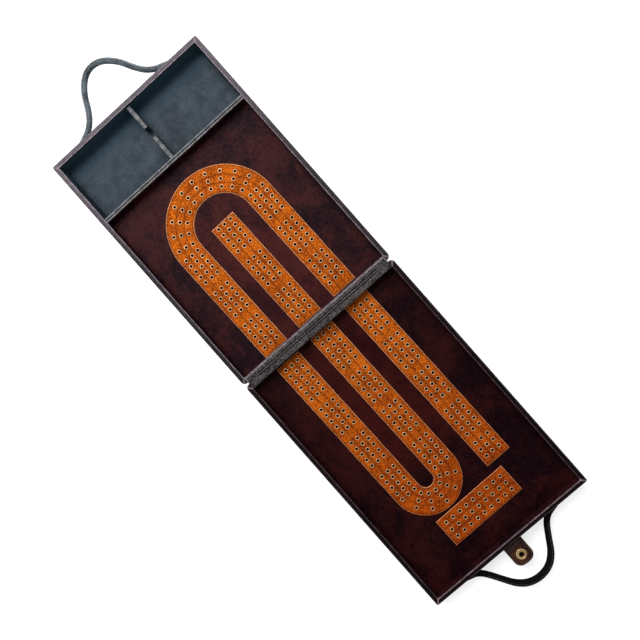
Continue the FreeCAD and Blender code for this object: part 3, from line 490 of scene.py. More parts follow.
def brass_material(name, bright, dull, roughness, metallic):
    """Brass whose tone drifts from bright to dull and whose roughness follows the same drift."""
    material, tree, shader = new_material(name)
    place = object_place(tree)
    share = span(tree, noise(tree, place, 160.0, Detail=4.0), 0.4, 0.62)
    tone = mix_colours(tree, share, (*bright, 1), (*dull, 1))
    # The dark mask mixes in that painted shade.
    tone = mix_colours(tree, mask(tree, "dark"), tone, HOLLOW_SHADE)
    join(tree, tone, shader.inputs["Base Color"])
    join(tree, span(tree, share, 0.0, 1.0, roughness, roughness + 0.16), shader.inputs["Roughness"])
    emboss(tree, shader, noise(tree, place, 2600.0, Detail=3.0), 0.15, 0.00005)
    shader.inputs["Metallic"].default_value = metallic
    shader.inputs["Specular IOR Level"].default_value = 0.1
    return material


eyelet_brass = brass_material("eyelet_brass", (1.0, 0.58, 0.29), (1.0, 0.50, 0.23), 0.27, 0.4)
snap_brass = brass_material("snap_brass", (0.96, 0.70, 0.34), (0.62, 0.40, 0.17), 0.34, 0.8)

# %% Thread, wood and cord


def banded_material(name, dark, light, scale, distortion, axis, roughness, relief):
    """Bands of two tones along one axis, bent by noise: thread, cord or the figure of wood."""
    material, tree, shader = new_material(name)
    place = object_place(tree)
    bands = add(tree, "ShaderNodeTexWave", bands_direction=axis, Scale=scale, Distortion=distortion,
                Detail=3.0)
    join(tree, place, bands.inputs["Vector"])
    fuzz = span(tree, noise(tree, place, scale * 2.0, Detail=4.0), 0.3, 0.7, 0.5, 1.0)
    share = maths(tree, "MULTIPLY", bands.outputs["Fac"], fuzz)
    join(tree, mix_colours(tree, share, (*dark, 1), (*light, 1)), shader.inputs["Base Color"])
    emboss(tree, shader, share, relief, 0.0001)
    shader.inputs["Roughness"].default_value = roughness
    return material


def thread_material(name, dark, light, roughness=0.7):
    """Fine slanting bands, like the twist of a waxed thread."""
    return banded_material(name, dark, light, 900, 2.0, "DIAGONAL", roughness, 0.5)


track_thread = thread_material("track_thread", (0.012, 0.004, 0.002), (0.050, 0.015, 0.006), 0.75)
dark_thread = thread_material("dark_thread", (0.030, 0.020, 0.016), (0.15, 0.11, 0.09))
# The pale thread goes on the lit card handle: painted light on its stitches.
pale_thread = thread_material("pale_thread", (0.09, 0.085, 0.085), (0.26, 0.25, 0.25))
wood = banded_material("wood", (0.10, 0.055, 0.028), (0.30, 0.18, 0.09), 45, 6.0, "Y", 0.7, 0.3)
cord = banded_material("cord", (0.42, 0.38, 0.31), (0.70, 0.66, 0.58), 700, 1.5, "DIAGONAL",
                       0.9, 0.6)

# %% [markdown]
# ## The nodes that keep their solids
# The flat boards, floors and linings have the right shape already. They only need their finish,
# which goes into the material slots of the objects that came with the frame. Most of them come in
# pairs, one for each tray, so their names are put together from the tray's and the piece's.

# %% Finishes of the carried-over nodes
IN_BOTH_TRAYS = {
    "tray_bottom_leather": case_leather, "tray_bottom_panel": wood, "tray_front_wall": wood,
    "tray_rear_wall": wood, "tray_end_wall": wood, "tray_hinge_wall": wood, "tray_peg_board": wood,
    "tray_wall_lining": playing_leather, "handle_core": cord,
}
finishes = {f"{tray}_{node}": material
            for tray in ("card", "board") for node, material in IN_BOTH_TRAYS.items()}
finishes |= {
    "rear_pocket_lining": pocket_leather, "front_pocket_lining": pocket_leather,
    "deck_divider": slate_leather, "card_partition": wood,
    "card_tray_playing_leather": playing_leather,
    "board_tray_playing_leather": dark_playing_leather,
}
for node, material in finishes.items():
    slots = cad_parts[node].data.materials
    slots.clear()
    slots.append(material)
print("finished", len(finishes), "nodes")

# %% [markdown]
# ## The trays' covers
# One hide wraps the outside of each tray, turns over the rim and is folded in. The cut edge of
# the fold shows as a raised, worn bead along the inside, with a painted highlight on it, and the
# card tray's rim carries a painted sheen towards its end. At each corner the hide is mitred,
# which leaves a pale seam from the inner corner to the outer one. The cover is one profile of
# inset and height, carried round a rounded rectangle whose inset grows along the profile.

# %% Sizes of the trays, in millimetres
CARD, BOARD = -1, 1


def box_mm(node):
    """A node's lowest and highest corners in millimetres."""
    return [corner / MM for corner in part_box(node)]


cover_low, cover_high = box_mm("board_tray_side_leather")
HINGE_FACE, END_FACE, SIDE_FACE = cover_low.x, cover_high.x, cover_high.y
RIM_TOP, WALL_FOOT = cover_high.z, cover_low.z
leaf_low, leaf_high = box_mm("board_hinge_leaf")
UNDER_STRIP, STRIP_END = leaf_low.z, leaf_high.y
track_low, track_high = box_mm("board_rear_track")
PLAYING_TOP, TRACK_TOP = track_low.z, track_high.z
INNER_INSET = SIDE_FACE - box_mm("board_tray_wall_lining")[1].y + 1
HINGE_SPREAD = (leaf_high.x - HINGE_FACE) / INNER_INSET
print("rim", round(RIM_TOP, 2), "mm, track top", round(TRACK_TOP, 2), "mm")
print("the covers end", round(INNER_INSET, 2), "mm in from the outer faces")

# %% Round the rim
HINGE_CORNER, END_CORNER, LEAST_CORNER = 4.5, 1.8, 0.5
CORNER_POINTS, LONG_SIDE_POINTS, SHORT_SIDE_POINTS = 9, 330, 230


def rim_curve(inset):
    """Distances out and across of points round a tray at some insets, with rounder hinge corners.

    Each inset's curve is four straight sides and four quarter circles. A corner's radius shrinks
    with the inset. Each side's points are set closer together near its ends.
    """
    inset = np.asarray(inset, float)[:, None]
    near, far = HINGE_FACE + inset * HINGE_SPREAD, END_FACE - inset
    side = SIDE_FACE - inset
    hinge_radius = np.maximum(HINGE_CORNER - inset, LEAST_CORNER)
    end_radius = np.maximum(END_CORNER - inset, LEAST_CORNER)
    corners = ((near, -side, hinge_radius, 1, 1, np.pi),
               (far, -side, end_radius, -1, 1, 1.5 * np.pi),
               (far, side, end_radius, -1, -1, 0.0),
               (near, side, hinge_radius, 1, -1, 0.5 * np.pi))
    middles = [(x + to_x * r, y + to_y * r, r, start) for x, y, r, to_x, to_y, start in corners]
    turn = np.linspace(0, np.pi / 2, CORNER_POINTS)[None, :]
    outs, acrosses = [], []
    for place, (x, y, radius, start) in enumerate(middles):
        outs.append(x + radius * np.cos(start + turn))
        acrosses.append(y + radius * np.sin(start + turn))
        next_x, next_y, next_radius, next_start = middles[(place + 1) % 4]
        count = LONG_SIDE_POINTS if place % 2 == 0 else SHORT_SIDE_POINTS
        share = np.linspace(0, 1, count)[None, 1:-1]
        share = 0.5 * share + 0.25 * (1 - np.cos(np.pi * share))
        first = outs[-1][:, -1:], acrosses[-1][:, -1:]
        last = next_x + next_radius * np.cos(next_start), next_y + next_radius * np.sin(next_start)
        outs.append(first[0] + (last[0] - first[0]) * share)
        acrosses.append(first[1] + (last[1] - first[1]) * share)
    return np.concatenate(outs, 1), np.concatenate(acrosses, 1)


# %% Over the rim
RIM_ROUND = 0.9
BEAD_INSET, BEAD_HALF, BEAD_RISE = 4.95, 0.6, 0.34
FOLD_DEPTH = 2.2


def rim_profile():
    """Insets and heights: up the wall, over the rounded edge and the bead, and back inside."""
    bend = np.linspace(np.pi, np.pi / 2, 6)
    bead = np.linspace(np.pi, 0, 7)
    insets = [[0, 0, 0], RIM_ROUND + RIM_ROUND * np.cos(bend), [1.8, 2.7, 3.6, 4.2],
              BEAD_INSET + BEAD_HALF * np.cos(bead), [5.6, 5.6, 4.6, 1.0, 1.0]]
    fold = RIM_TOP - FOLD_DEPTH
    heights = [[WALL_FOOT, 9, 18], RIM_TOP - RIM_ROUND + RIM_ROUND * np.sin(bend),
               [RIM_TOP + 0.05, RIM_TOP + 0.07, RIM_TOP + 0.02, RIM_TOP - 0.15],
               RIM_TOP - 0.15 + BEAD_RISE * np.sin(bead),
               [RIM_TOP - 0.9, fold, fold, fold, WALL_FOOT]]
    return np.concatenate(insets), np.concatenate(heights)


# %% The covers
MITRE_REACH = 6.5
LIT_END_REACH = 7
INSIDE = 6.4
SHEEN_REACH = 150


def tray_cover(name, side, body, node, material):
    """The hide round a tray, lowered where the hinge strip lies on it, with its mitres, wear and
    painted highlights.

    The card tray's rim carries a painted sheen, strongest at its end and less and less towards the
    hinge. The bead along the inside is lightened partly as a worn edge and partly as a painted
    highlight; on the board tray that holds in full only along its end and a quarter as much
    elsewhere.
    """
    insets, heights = rim_profile()
    out, across = rim_curve(insets)
    height = np.broadcast_to(heights[:, None], out.shape).copy()
    inset = np.broadcast_to(insets[:, None], out.shape)
    from_hinge = (out - HINGE_FACE) / HINGE_SPREAD
    from_side = SIDE_FACE - np.abs(across)
    from_end = END_FACE - out
    to_nearer = np.minimum(from_hinge, from_end)
    top = step(RIM_TOP - 2, RIM_TOP - 0.6, height)
    corner = (to_nearer < MITRE_REACH) & (from_side < MITRE_REACH)
    mitre = bell(to_nearer, from_side, 0.75) * top * corner
    bead = bell(inset, BEAD_INSET, 0.55) * top
    along = out + 1.7 * across
    height += top * (waver(along, 0.05, 46, 3 + side) - 0.04 - 0.22 * mitre)
    under = step(STRIP_END + 0.6, STRIP_END - 0.2, np.abs(across))
    under = under * step(INSIDE + 0.5, INSIDE, from_hinge)
    if side == CARD:
        under = under * step(4.55, 4.35, inset)
    height = height - under * np.maximum(height - UNDER_STRIP + 0.3, 0)
    sway = waver(along, 0.16, 30, 9 + side) * bell(inset, 5.2, 0.8)
    points = np.stack([side * (out + sway * (from_end < INSIDE)),
                       across + sway * (from_side < INSIDE), height], -1)
    outer = bell(inset, 0.5, 0.5) * top
    # The bead's paleness is partly a worn edge and partly a painted highlight; on the board tray
    # the highlight is painted in full only along the end.
    bead_wear_and_highlight = bead * (0.75 + waver(along, 0.25, 25, 5))
    if side == BOARD:
        bead_wear_and_highlight = bead_wear_and_highlight * (0.25 + 0.75 * (from_end < LIT_END_REACH))
    # A painted sheen on the card tray's rim, strongest at its end and weaker towards the hinge.
    painted_sheen = 0.28 * top * step(SHEEN_REACH, 0, from_end) * (side == CARD)
    edge = np.clip(0.85 * mitre + bead_wear_and_highlight + 0.18 * outer + painted_sheen, 0, 1)
    quads = grid_faces(*out.shape, wrap_rows=True, wrap_columns=True)
    flat = points.reshape(-1, 3)
    made = piece(name, flat, outward(flat, quads), material, body,
                 masks={"edge": edge * (1 - under)})
    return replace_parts(made, node)


tray_cover("card_tray_cover", CARD, "card_tray", "card_tray_side_leather", case_leather)
tray_cover("board_tray_cover", BOARD, "board_tray", "board_tray_side_leather", dark_case_leather)

# %% [markdown]
# ## The hinge
# A single strip of slate leather is glued to both hinge rims. Between the trays it has been
# folded so often that it stands up in a pale crest, with a crease of painted shade on each side.
# Near its ends it lies flat.

# %% The hinge strip
ON_CARD, ON_BOARD = -6.3, 7.5
CARD_CREASE, BOARD_CREASE = -1.25, 1.3
WORKED, UNWORKED = 80.5, 84.5


def hinge_strip():
    """The top and the foot of the strip: the top rises in a crest between two creases.

    With them come the masks of its paler edges, with a painted highlight along the card-side
    edge, and of the painted shade in its creases.
    """
    out = np.concatenate([np.linspace(ON_CARD, -2.6, 9), np.linspace(-2.3, 2.3, 33),
                          np.linspace(2.6, ON_BOARD, 12)])
    across = np.linspace(-STRIP_END, STRIP_END, 260)
    x, y = np.meshgrid(out, across)
    drift = waver(y, 0.20, 60, 12)
    worked = step(UNWORKED, WORKED, np.abs(y))
    crest = bell(x, drift, 0.50)
    crease = bell(x, CARD_CREASE + drift, 0.45) + bell(x, BOARD_CREASE + drift, 0.45)
    to_edge = np.minimum(np.minimum(x - ON_CARD, ON_BOARD - x), STRIP_END - np.abs(y))
    rounding = 0.75 * (1 - step(0, 1.1, to_edge)) ** 2
    folded = worked * (0.30 * crest - 0.85 * crease)
    top = RIM_TOP + 0.12 + folded - rounding + waver(y + 3 * x, 0.07, 22, 8)
    foot = np.full_like(top, UNDER_STRIP - 0.25)
    # A painted highlight along the card-side edge of the strip, the side towards the lamp.
    paled_edge = (0.95 + waver(y, 0.3, 14, 2)) * bell(to_edge, 0, 0.8) * (x < 0)
    edge = 0.12 * worked * crest + paled_edge + 0.15 * (to_edge < 0.6)
    # Painted shade in the two creases.
    dark = worked * np.clip(1.25 * crease, 0, 1)
    return np.stack([x, y, top], -1), np.stack([x, y, foot], -1), edge, dark


def slab(name, upper, lower, material, body, masks, keep=None):
    """A closed slab from two grids of points: its top, its bottom and a wall round every open edge.

    An edge of the kept faces that no other kept face shares backwards is an open one.
    """
    rows, columns = upper.shape[:2]
    count = rows * columns
    quads = grid_faces(rows, columns)
    if keep is not None:
        quads = quads[keep(upper.reshape(-1, 3)[quads].mean(1))]
    edges = np.concatenate([quads[:, [k, (k + 1) % 4]] for k in range(4)])
    forward, backward = edges[:, 0] * count + edges[:, 1], edges[:, 1] * count + edges[:, 0]
    first, second = edges[~np.isin(forward, backward)].T
    walls = np.stack([second, first, first + count, second + count], -1)
    faces = np.concatenate([quads, quads[:, ::-1] + count, walls])
    points = np.concatenate([upper.reshape(-1, 3), lower.reshape(-1, 3)])
    used, packed = np.unique(faces, return_inverse=True)
    masks = {label: np.tile(values.ravel(), 2)[used] for label, values in masks.items()}
    points, faces = points[used], packed.reshape(faces.shape)
    return piece(name, points, outward(points, faces), material, body, masks)


upper, lower, edge, dark = hinge_strip()
strip = slab("hinge_strip", upper, lower, hinge_leather, None,
             {"edge": edge, "dark": dark})
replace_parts(strip, "card_hinge_leaf", "board_hinge_leaf", "hinge_fold")
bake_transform(strip)

# %% [markdown]
# ## Where the holes are
# The frame's eyelets are tiny tubes, and their middles say where every peg hole is. Points of one
# eyelet are tied by edges, so each point can take the lowest number among its neighbours until
# nothing changes. Each eyelet then has one number, and its middle is half way between its ends.

# %% Middles of the eyelets


def eyelet_middles(node):
    """Middles of the separate tubes of one node, in millimetres, by spreading the lowest number."""
    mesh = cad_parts[node].data
    places = np.empty(len(mesh.vertices) * 3, np.float32)
    mesh.vertices.foreach_get("co", places)
    places = places.reshape(-1, 3) / MM
    edges = np.empty(len(mesh.edges) * 2, np.int32)
    mesh.edges.foreach_get("vertices", edges)
    _, same = np.unique(np.round(places, 2), axis=0, return_inverse=True)
    same = same.ravel()
    ends = same[edges.reshape(-1, 2)]
    number = np.arange(same.max() + 1)
    changed = True
    while changed:
        least = number[ends].min(1)
        spread = number.copy()
        np.minimum.at(spread, ends[:, 0], least)
        np.minimum.at(spread, ends[:, 1], least)
        spread = spread[spread]
        changed = not np.array_equal(spread, number)
        number = spread
    _, tube = np.unique(number[same], return_inverse=True)
    tube = tube.ravel()
    least, most = np.full((tube.max() + 1, 2), np.inf), np.full((tube.max() + 1, 2), -np.inf)
    np.minimum.at(least, tube, places[:, :2])
    np.maximum.at(most, tube, places[:, :2])
    return (least + most) / 2


card_holes = eyelet_middles("card_tray_eyelets")
board_holes = eyelet_middles("board_tray_eyelets")
print("peg holes:", len(card_holes), "and", len(board_holes))

# %% [markdown]
# ## Eyelets
# Each peg hole is lined with a brass eyelet: a thin barrel whose upper end was rolled outwards
# over the leather. Four hundred separate objects would be slow, so one small ring of a dozen
# points round is copied to every hole in a single mesh. Each copy is shifted and tilted a little,
# as if set by hand. The bore, the funnel above it and the foot of the flange are darkened with
# painted shade, and only the rolled flange is bright.

# %% Eyelets: radius, height and painted shade along the profile
EYELET = np.array(((1.15, 12.5, 1.0), (1.2, 14.9, 1.0), (1.42, 15.4, 1.0), (1.65, 15.65, 0.45),
                   (2.1, 16.0, 0.0), (2.45, 15.5, 0.4), (1.6, 15.4, 1.0), (1.5, 12.5, 1.0)))
EYELET_AROUND = 12
MOST_SHIFT = 0.25


def turned(profile, around, axis="z"):
    """Rings of a profile of (radius, height) turned about the upright or the lengthwise axis."""
    radius, height = np.asarray(profile, float).T
    angle = np.linspace(0, 2 * np.pi, around, endpoint=False)
    circle = np.stack([np.cos(angle), np.sin(angle), np.zeros(around)], -1)
    rings = radius[:, None, None] * circle + height[:, None, None] * np.array([0, 0, 1.0])
    return rings[..., [2, 0, 1]] if axis == "x" else rings


def eyelets(name, holes, body, node, seed):
    """Rolled flanges on short barrels, each set a little off by hand and tilted a little."""
    ring = turned(EYELET[:, :2], EYELET_AROUND)
    count, rows = len(holes), len(EYELET)
    random = np.random.default_rng(seed)
    shift = np.clip(random.normal(0, 0.12, (count, 2)), -MOST_SHIFT, MOST_SHIFT)
    tilt = random.normal(0, 0.035, (count, 2))
    points = np.repeat(ring[None], count, 0)
    leaning = points[..., :2] @ tilt[:, None, :, None]
    points[..., 2] += leaning[..., 0] + random.normal(0, 0.04, (count, 1, 1))
    points[..., :2] += (holes + shift)[:, None, None, :]
    single = grid_faces(rows, EYELET_AROUND, wrap_rows=True, wrap_columns=True)
    single = outward(ring.reshape(-1, 3), single)
    quads = single[None] + (np.arange(count) * rows * EYELET_AROUND)[:, None, None]
    # The third column of the profile is painted shade on the bore, the funnel and the foot of the
    # flange; each eyelet is also dulled a little at random.
    dull = random.uniform(0, 0.15, (count, 1, 1))
    dark = np.clip(EYELET[None, :, 2:] + dull, 0, 1)
    dark = np.broadcast_to(dark, (count, rows, EYELET_AROUND))
    made = piece(name, points.reshape(-1, 3), quads.reshape(-1, 4), eyelet_brass, body,
                 masks={"dark": dark})
    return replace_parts(made, node)


eyelets("card_eyelets", card_holes, "card_tray", "card_tray_eyelets", 41)
eyelets("board_eyelets", board_holes, "board_tray", "board_tray_eyelets", 43)

# %% [markdown]
# ## The tracks
# Each track is a ribbon of firm leather. Its edges were cut at a slant and dyed less, so they
# show as a pale line, and four rows of stitches are pulled down into it. A ribbon is a centre
# line with a heading at every point and a width across it, so a hairpin needs one formula and a
# straight none. The tracks were laid off square by a little under a degree, so each is turned by
# that angle.

# %% Centre lines
LANE_REAR, LANE_FRONT, LANE_MIDDLE = 45.5, -51.4, -3.4
TRACK_START = 8.2
CARD_TURN, CARD_MIDDLE_END = 141.6, 146.6
BOARD_TURN, BOARD_REAR_END = 198.6, 232
GAMES_REACH, GAMES_START, GAMES_LENGTH = 256.9, -50.0, 91.4
SKEW = math.radians(0.85)


def hairpin(turn, one, two):
    """The length and the line of a hairpin: out on one lane, round half a circle, and back.

    A line gives places and headings at distances along it.
    """
    reach, radius = turn - TRACK_START, abs(one - two) / 2
    sense = 1 if one > two else -1

    def line(distance):
        angle = np.clip((distance - reach) / radius, 0, np.pi)
        back = np.maximum(distance - reach - np.pi * radius, 0)
        x = TRACK_START + np.minimum(distance, reach) + radius * np.sin(angle) - back
        y = (one + two) / 2 + sense * radius * np.cos(angle)
        return np.stack([x, y], -1), np.stack([np.cos(angle), -sense * np.sin(angle)], -1)

    return 2 * reach + math.pi * radius, line


def straight(start, length, heading):
    """The length and the line of a straight lane from its start."""
    def line(distance):
        places = np.array(start) + distance[:, None] * np.array(heading)
        return places, np.tile(heading, (len(distance), 1))

    return length, line


def skewed(flat):
    """Points turned by the angle at which the tracks were laid off square."""
    x, y = flat[..., 0], flat[..., 1]
    cosine, sine = math.cos(SKEW), math.sin(SKEW)
    return np.stack([x * cosine - y * sine, x * sine + y * cosine], -1)


# %% Ribbons with pressed seams and open holes
END_SEAM = 1.4
SEAM_WIDTH = 0.55
HOLE_RADIUS, PRESSED_RADIUS = 1.62, 2.25
POINT_SPACING = 0.72


def ribbon(name, side, line, length, half, seams, holes, body, node):
    """A track: a grid along its centre line and across its width, opened at the holes.

    The top falls at both edges and both ends, and dips along each seam by a narrow bell curve.
    Round each hole the flange of the eyelet has pressed a ring into it.
    """
    along = np.linspace(0, length, int(length / POINT_SPACING))
    beside_seams = [[seam - 0.5, seam, seam + 0.5] for seam in seams]
    across = np.unique(np.round(np.concatenate([np.linspace(-half, half, 45), *beside_seams]), 3))
    place, heading = line(along)
    normal = np.stack([-heading[:, 1], heading[:, 0]], -1)
    u, v = np.meshgrid(along, across, indexing="ij")
    sway = waver(u, 0.12, 38, len(name)) * (np.abs(v) / half) ** 4 * np.sign(v)
    flat = place[:, None] + normal[:, None] * (v + sway)[..., None]
    flat = skewed(flat * np.array([side, 1]))
    to_side, to_end = half - np.abs(v), np.minimum(u, length - u)
    to_edge = np.minimum(to_side, to_end)
    seam = sum(bell(v, middle, SEAM_WIDTH) for middle in seams)
    seam = np.maximum(seam, sum(bell(u, end, SEAM_WIDTH) for end in (END_SEAM, length - END_SEAM)))
    seam = np.clip(seam, 0, 1) * step(0.9, 1.3, to_side) * step(0.9, 1.3, to_end)
    height = TRACK_TOP - 0.55 * (1 - step(0, 0.8, to_edge)) - 0.3 * seam
    height = height + waver(u + 2 * v, 0.05, 17, 6)
    edge = (1 - step(0.45, 1.0, to_edge)) * (0.9 + waver(u, 0.15, 12, 4))

    def to_hole(points):
        return np.sqrt(((points[:, None] - holes[None]) ** 2).sum(-1).min(1))

    parts = np.array_split(flat.reshape(-1, 2), 24)
    near = np.concatenate([to_hole(part) for part in parts]).reshape(height.shape)
    pressed = bell(near, PRESSED_RADIUS, 0.45)
    height = height - 0.12 * pressed
    foot = np.full_like(height, PLAYING_TOP - 0.05)
    upper = np.concatenate([flat, height[..., None]], -1)
    lower = np.concatenate([flat, foot[..., None]], -1)
    # The dark mask paints shade into the seam grooves and into the ring pressed round each hole.
    made = slab(name, upper, lower, track_leather, body,
                {"edge": np.clip(edge, 0, 1), "dark": np.clip(0.5 * seam + 0.75 * pressed, 0, 1)},
                keep=lambda middles: to_hole(middles[:, :2]) > HOLE_RADIUS)
    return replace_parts(made, node)


# %% Stitches
STITCH_ALONG = np.array([-1.0, -0.45, 0.45, 1.0])
STITCH_WIDTH = np.array([0.35, 1.0, 1.0, 0.35])
STITCH_BOW = np.array([-0.35, 0.0, 0.0, -0.35])
STITCH_AROUND = 6


def stitches(name, places, headings, material, body, long=1.25, thick=0.5):
    """Short fat threads: each is a rod of four rings of six points, tapered and sunk at its ends.

    A stitch lies along its heading, at its place, and bows up in the middle.
    """
    angle = np.linspace(0, 2 * np.pi, STITCH_AROUND, endpoint=False)
    forward = headings / np.linalg.norm(headings, axis=-1, keepdims=True)
    sideways = np.cross((0, 0, 1.0), forward)
    upward = np.cross(forward, sideways)
    width = STITCH_WIDTH[:, None] * thick / 2
    lift = width * np.sin(angle) + STITCH_BOW[:, None] * thick
    along = (STITCH_ALONG * long / 2)[:, None, None]
    rings = (places[:, None, None] + forward[:, None, None] * along
             + upward[:, None, None] * lift[..., None]
             + sideways[:, None, None] * (width * np.cos(angle))[..., None])
    rows = len(STITCH_ALONG)
    single = np.concatenate([grid_faces(rows, STITCH_AROUND, wrap_columns=True),
                             cap_faces(0, STITCH_AROUND)[:, ::-1],
                             cap_faces((rows - 1) * STITCH_AROUND, STITCH_AROUND)])
    single = outward(rings[0].reshape(-1, 3), single)
    quads = single[None] + (np.arange(len(places)) * rows * STITCH_AROUND)[:, None, None]
    return piece(name, rings.reshape(-1, 3), quads.reshape(-1, 4), material, body)


# %% Where the stitches of a track go
STITCH_PITCH = 1.95
chance = np.random.default_rng(29)


def seam_places(side, line, length, seams, half):
    """Places and headings of the stitches along a ribbon's seams and across its ends."""
    places, headings = [], []
    distance = np.arange(1.6, length - 1.2, STITCH_PITCH)
    place, heading = line(distance)
    normal = np.stack([-heading[:, 1], heading[:, 0]], -1)
    for seam in seams:
        jog = chance.normal(0, 0.05, len(distance))
        places.append(place + normal * (seam + jog)[:, None])
        headings.append(heading)
    for end in (END_SEAM, length - END_SEAM):
        spot, way = line(np.array([end]))
        across = np.arange(-half + 2.4, half - 2, STITCH_PITCH)
        side_way = np.array([[-way[0, 1], way[0, 0]]])
        places.append(spot + side_way * across[:, None])
        headings.append(np.repeat(side_way, len(across), 0))
    mirror = np.array([side, 1])
    return skewed(np.concatenate(places) * mirror), skewed(np.concatenate(headings) * mirror)


# %% The five tracks
HALF_LANE, HALF_GAMES = 15.2, 16.5
LANE_SEAMS, GAMES_SEAMS = (-13.8, -4.2, 4.2, 13.8), (-15.1, -4.6, 4.6, 15.1)
STITCH_SINK = 0.17
LENGTHWISE, CROSSWISE = (1.0, 0.0), (0.0, 1.0)
TRACKS = (
    ("card_turn_track", CARD, HALF_LANE, LANE_SEAMS, *hairpin(CARD_TURN, LANE_REAR, LANE_FRONT)),
    ("card_middle_track", CARD, HALF_LANE, LANE_SEAMS,
     *straight((TRACK_START, LANE_MIDDLE), CARD_MIDDLE_END - TRACK_START, LENGTHWISE)),
    ("board_rear_track", BOARD, HALF_LANE, LANE_SEAMS,
     *straight((TRACK_START, LANE_REAR), BOARD_REAR_END - TRACK_START, LENGTHWISE)),
    ("board_turn_track", BOARD, HALF_LANE, LANE_SEAMS,
     *hairpin(BOARD_TURN, LANE_MIDDLE, LANE_FRONT)),
    ("games_counter_track", BOARD, HALF_GAMES, GAMES_SEAMS,
     *straight((GAMES_REACH, GAMES_START), GAMES_LENGTH, CROSSWISE)),
)
seam_sets = {"card_tray": [], "board_tray": []}
for name, side, half, seams, length, line in TRACKS:
    body, holes = ("card_tray", card_holes) if side == CARD else ("board_tray", board_holes)
    ribbon(f"{name}_leather", side, line, length, half, seams, holes, body, name)
    seam_sets[body].append(seam_places(side, line, length, seams, half))
for body, sets in seam_sets.items():
    places, headings = (np.concatenate(part) for part in zip(*sets))
    stitches(f"{body}_stitches", raised(places, TRACK_TOP - STITCH_SINK), raised(headings, 0),
             track_thread, body)

# %% [markdown]
# ## The partition and the divider
# The partition between the peg board and the pockets is bound with a strip whose two long edges
# meet the walls on either side as soft ridges, with a dark groove between them. The divider
# between the two packs of cards has a thin strip over its edge, which hands and cards have rubbed
# down to pale grey. A notch for a finger parts that strip in two.

# %% The partition's binding
partition_low, partition_high = box_mm("card_partition")
POCKET_SIDE, BOARD_SIDE = partition_low.x - 1.15, partition_high.x + 1.15
BINDING_ROWS, BINDING_TOP = 200, 22


def partition_binding():
    """A closed bar across the tray: two humps side by side, with a narrow groove between.

    Each hump is a half wave of a sine, raised to the power 0.55 to make it fuller.
    """
    across = np.linspace(partition_low.y + 0.6, partition_high.y - 0.6, BINDING_ROWS)
    share = np.linspace(0, 1, BINDING_TOP)
    hump = np.where(share < 0.55, np.sin(np.pi * np.clip(share / 0.46, 0, 1)) ** 0.55,
                    np.sin(np.pi * np.clip((share - 0.60) / 0.40, 0, 1)) ** 0.55)
    top_x = POCKET_SIDE + (BOARD_SIDE - POCKET_SIDE) * share
    section_x = np.concatenate([top_x, top_x[::-1]])
    section_z = np.concatenate([partition_high.z + 0.1 + 0.95 * hump,
                                np.full(BINDING_TOP, partition_high.z - 1.2)])
    columns = np.broadcast_arrays(section_x, across[:, None], section_z)
    rings = np.stack(columns, -1)
    rings[:, :, 0] += waver(across, 0.14, 60, 21)[:, None]
    rings[:, :BINDING_TOP, 2] += waver(across, 0.12, 34, 22)[:, None] * hump
    edge = np.zeros(rings.shape[:2])
    edge[:, :BINDING_TOP] = 0.55 * hump ** 3 * (1 + waver(across, 0.5, 18, 3)[:, None])
    return rings, np.clip(edge, 0, 1)


rings, edge = partition_binding()
shell("partition_binding", rings, trim_leather, "card_tray", masks={"edge": edge})

# %% The divider's strips
cap_low, cap_high = box_mm("deck_divider_cap")
NOTCH_MIDDLE, NOTCH_WIDTH = -264.0, 12.2
STRIP_ROWS, STRIP_AROUND = 70, 16


def divider_strip(name, start, end):
    """A rod of flattened oval section along the divider's edge, worn along its top."""
    along = np.linspace(start, end, STRIP_ROWS)
    angle = np.linspace(0, 2 * np.pi, STRIP_AROUND, endpoint=False)
    from_middle = 2 * (along - start) / (end - start) - 1
    taper = np.sqrt(np.clip(1 - from_middle ** 24, 0.2, 1))
    half = 2.45 * taper + waver(along, 0.12, 19, 2)
    rise = cap_low.z + 0.2 + (0.75 * taper)[:, None] * np.sin(angle)
    rings = np.stack(np.broadcast_arrays(along[:, None], half[:, None] * np.cos(angle), rise), -1)
    edge = np.clip(np.sin(angle), 0, 1) * (0.34 + waver(along, 0.3, 14, 7)[:, None])
    return shell(name, rings, trim_leather, "card_tray",
                 masks={"edge": np.clip(edge, 0, 1)})


outer_strip = divider_strip("divider_edge_outer", cap_low.x, NOTCH_MIDDLE - NOTCH_WIDTH / 2)
divider_strip("divider_edge_inner", NOTCH_MIDDLE + NOTCH_WIDTH / 2, cap_high.x)
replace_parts(outer_strip, "deck_divider_cap")

# %% [markdown]
# ## The handles
# Each handle is a strip of leather rolled round a cord and sewn along its outside. It is fat in
# the grip and thin in the legs, and its ends are beaten flat and riveted to the wall. So its
# section goes from a flat oval at the root to a round one, while the middle of it follows one
# curve.

# %% The route of a handle: distance from the hinge, and distance to the side, in millimetres
CARD_HANDLE = ((307.0, 66.0), (308.0, 60.5), (310.6, 53.5), (314.0, 46.7), (320.0, 39.6),
               (331.0, 32.2), (343.4, 26.2), (353.6, 17.6), (359.6, 9.0), (361.4, 0.0))
BOARD_HANDLE = ((306.8, 66.0), (307.4, 61.0), (308.4, 55.0), (310.8, 48.5), (315.0, 43.7),
                (320.0, 40.0), (332.0, 32.6), (343.3, 25.8), (351.4, 17.6), (355.3, 9.0),
                (356.4, 0.0))
HANDLE_ROWS, HANDLE_AROUND = 260, 32
SMOOTHINGS = 60
handle_low, handle_high = box_mm("board_handle_leather")
HANDLE_MIDDLE = (handle_low.z + handle_high.z) / 2


def evenly(points, count):
    """Places at even distances along a broken line, and those distances."""
    length = np.concatenate([[0], np.cumsum(np.linalg.norm(np.diff(points, axis=0), axis=1))])
    even = np.linspace(0, length[-1], count)
    return np.stack([np.interp(even, length, points[:, k]) for k in (0, 1)], -1), even


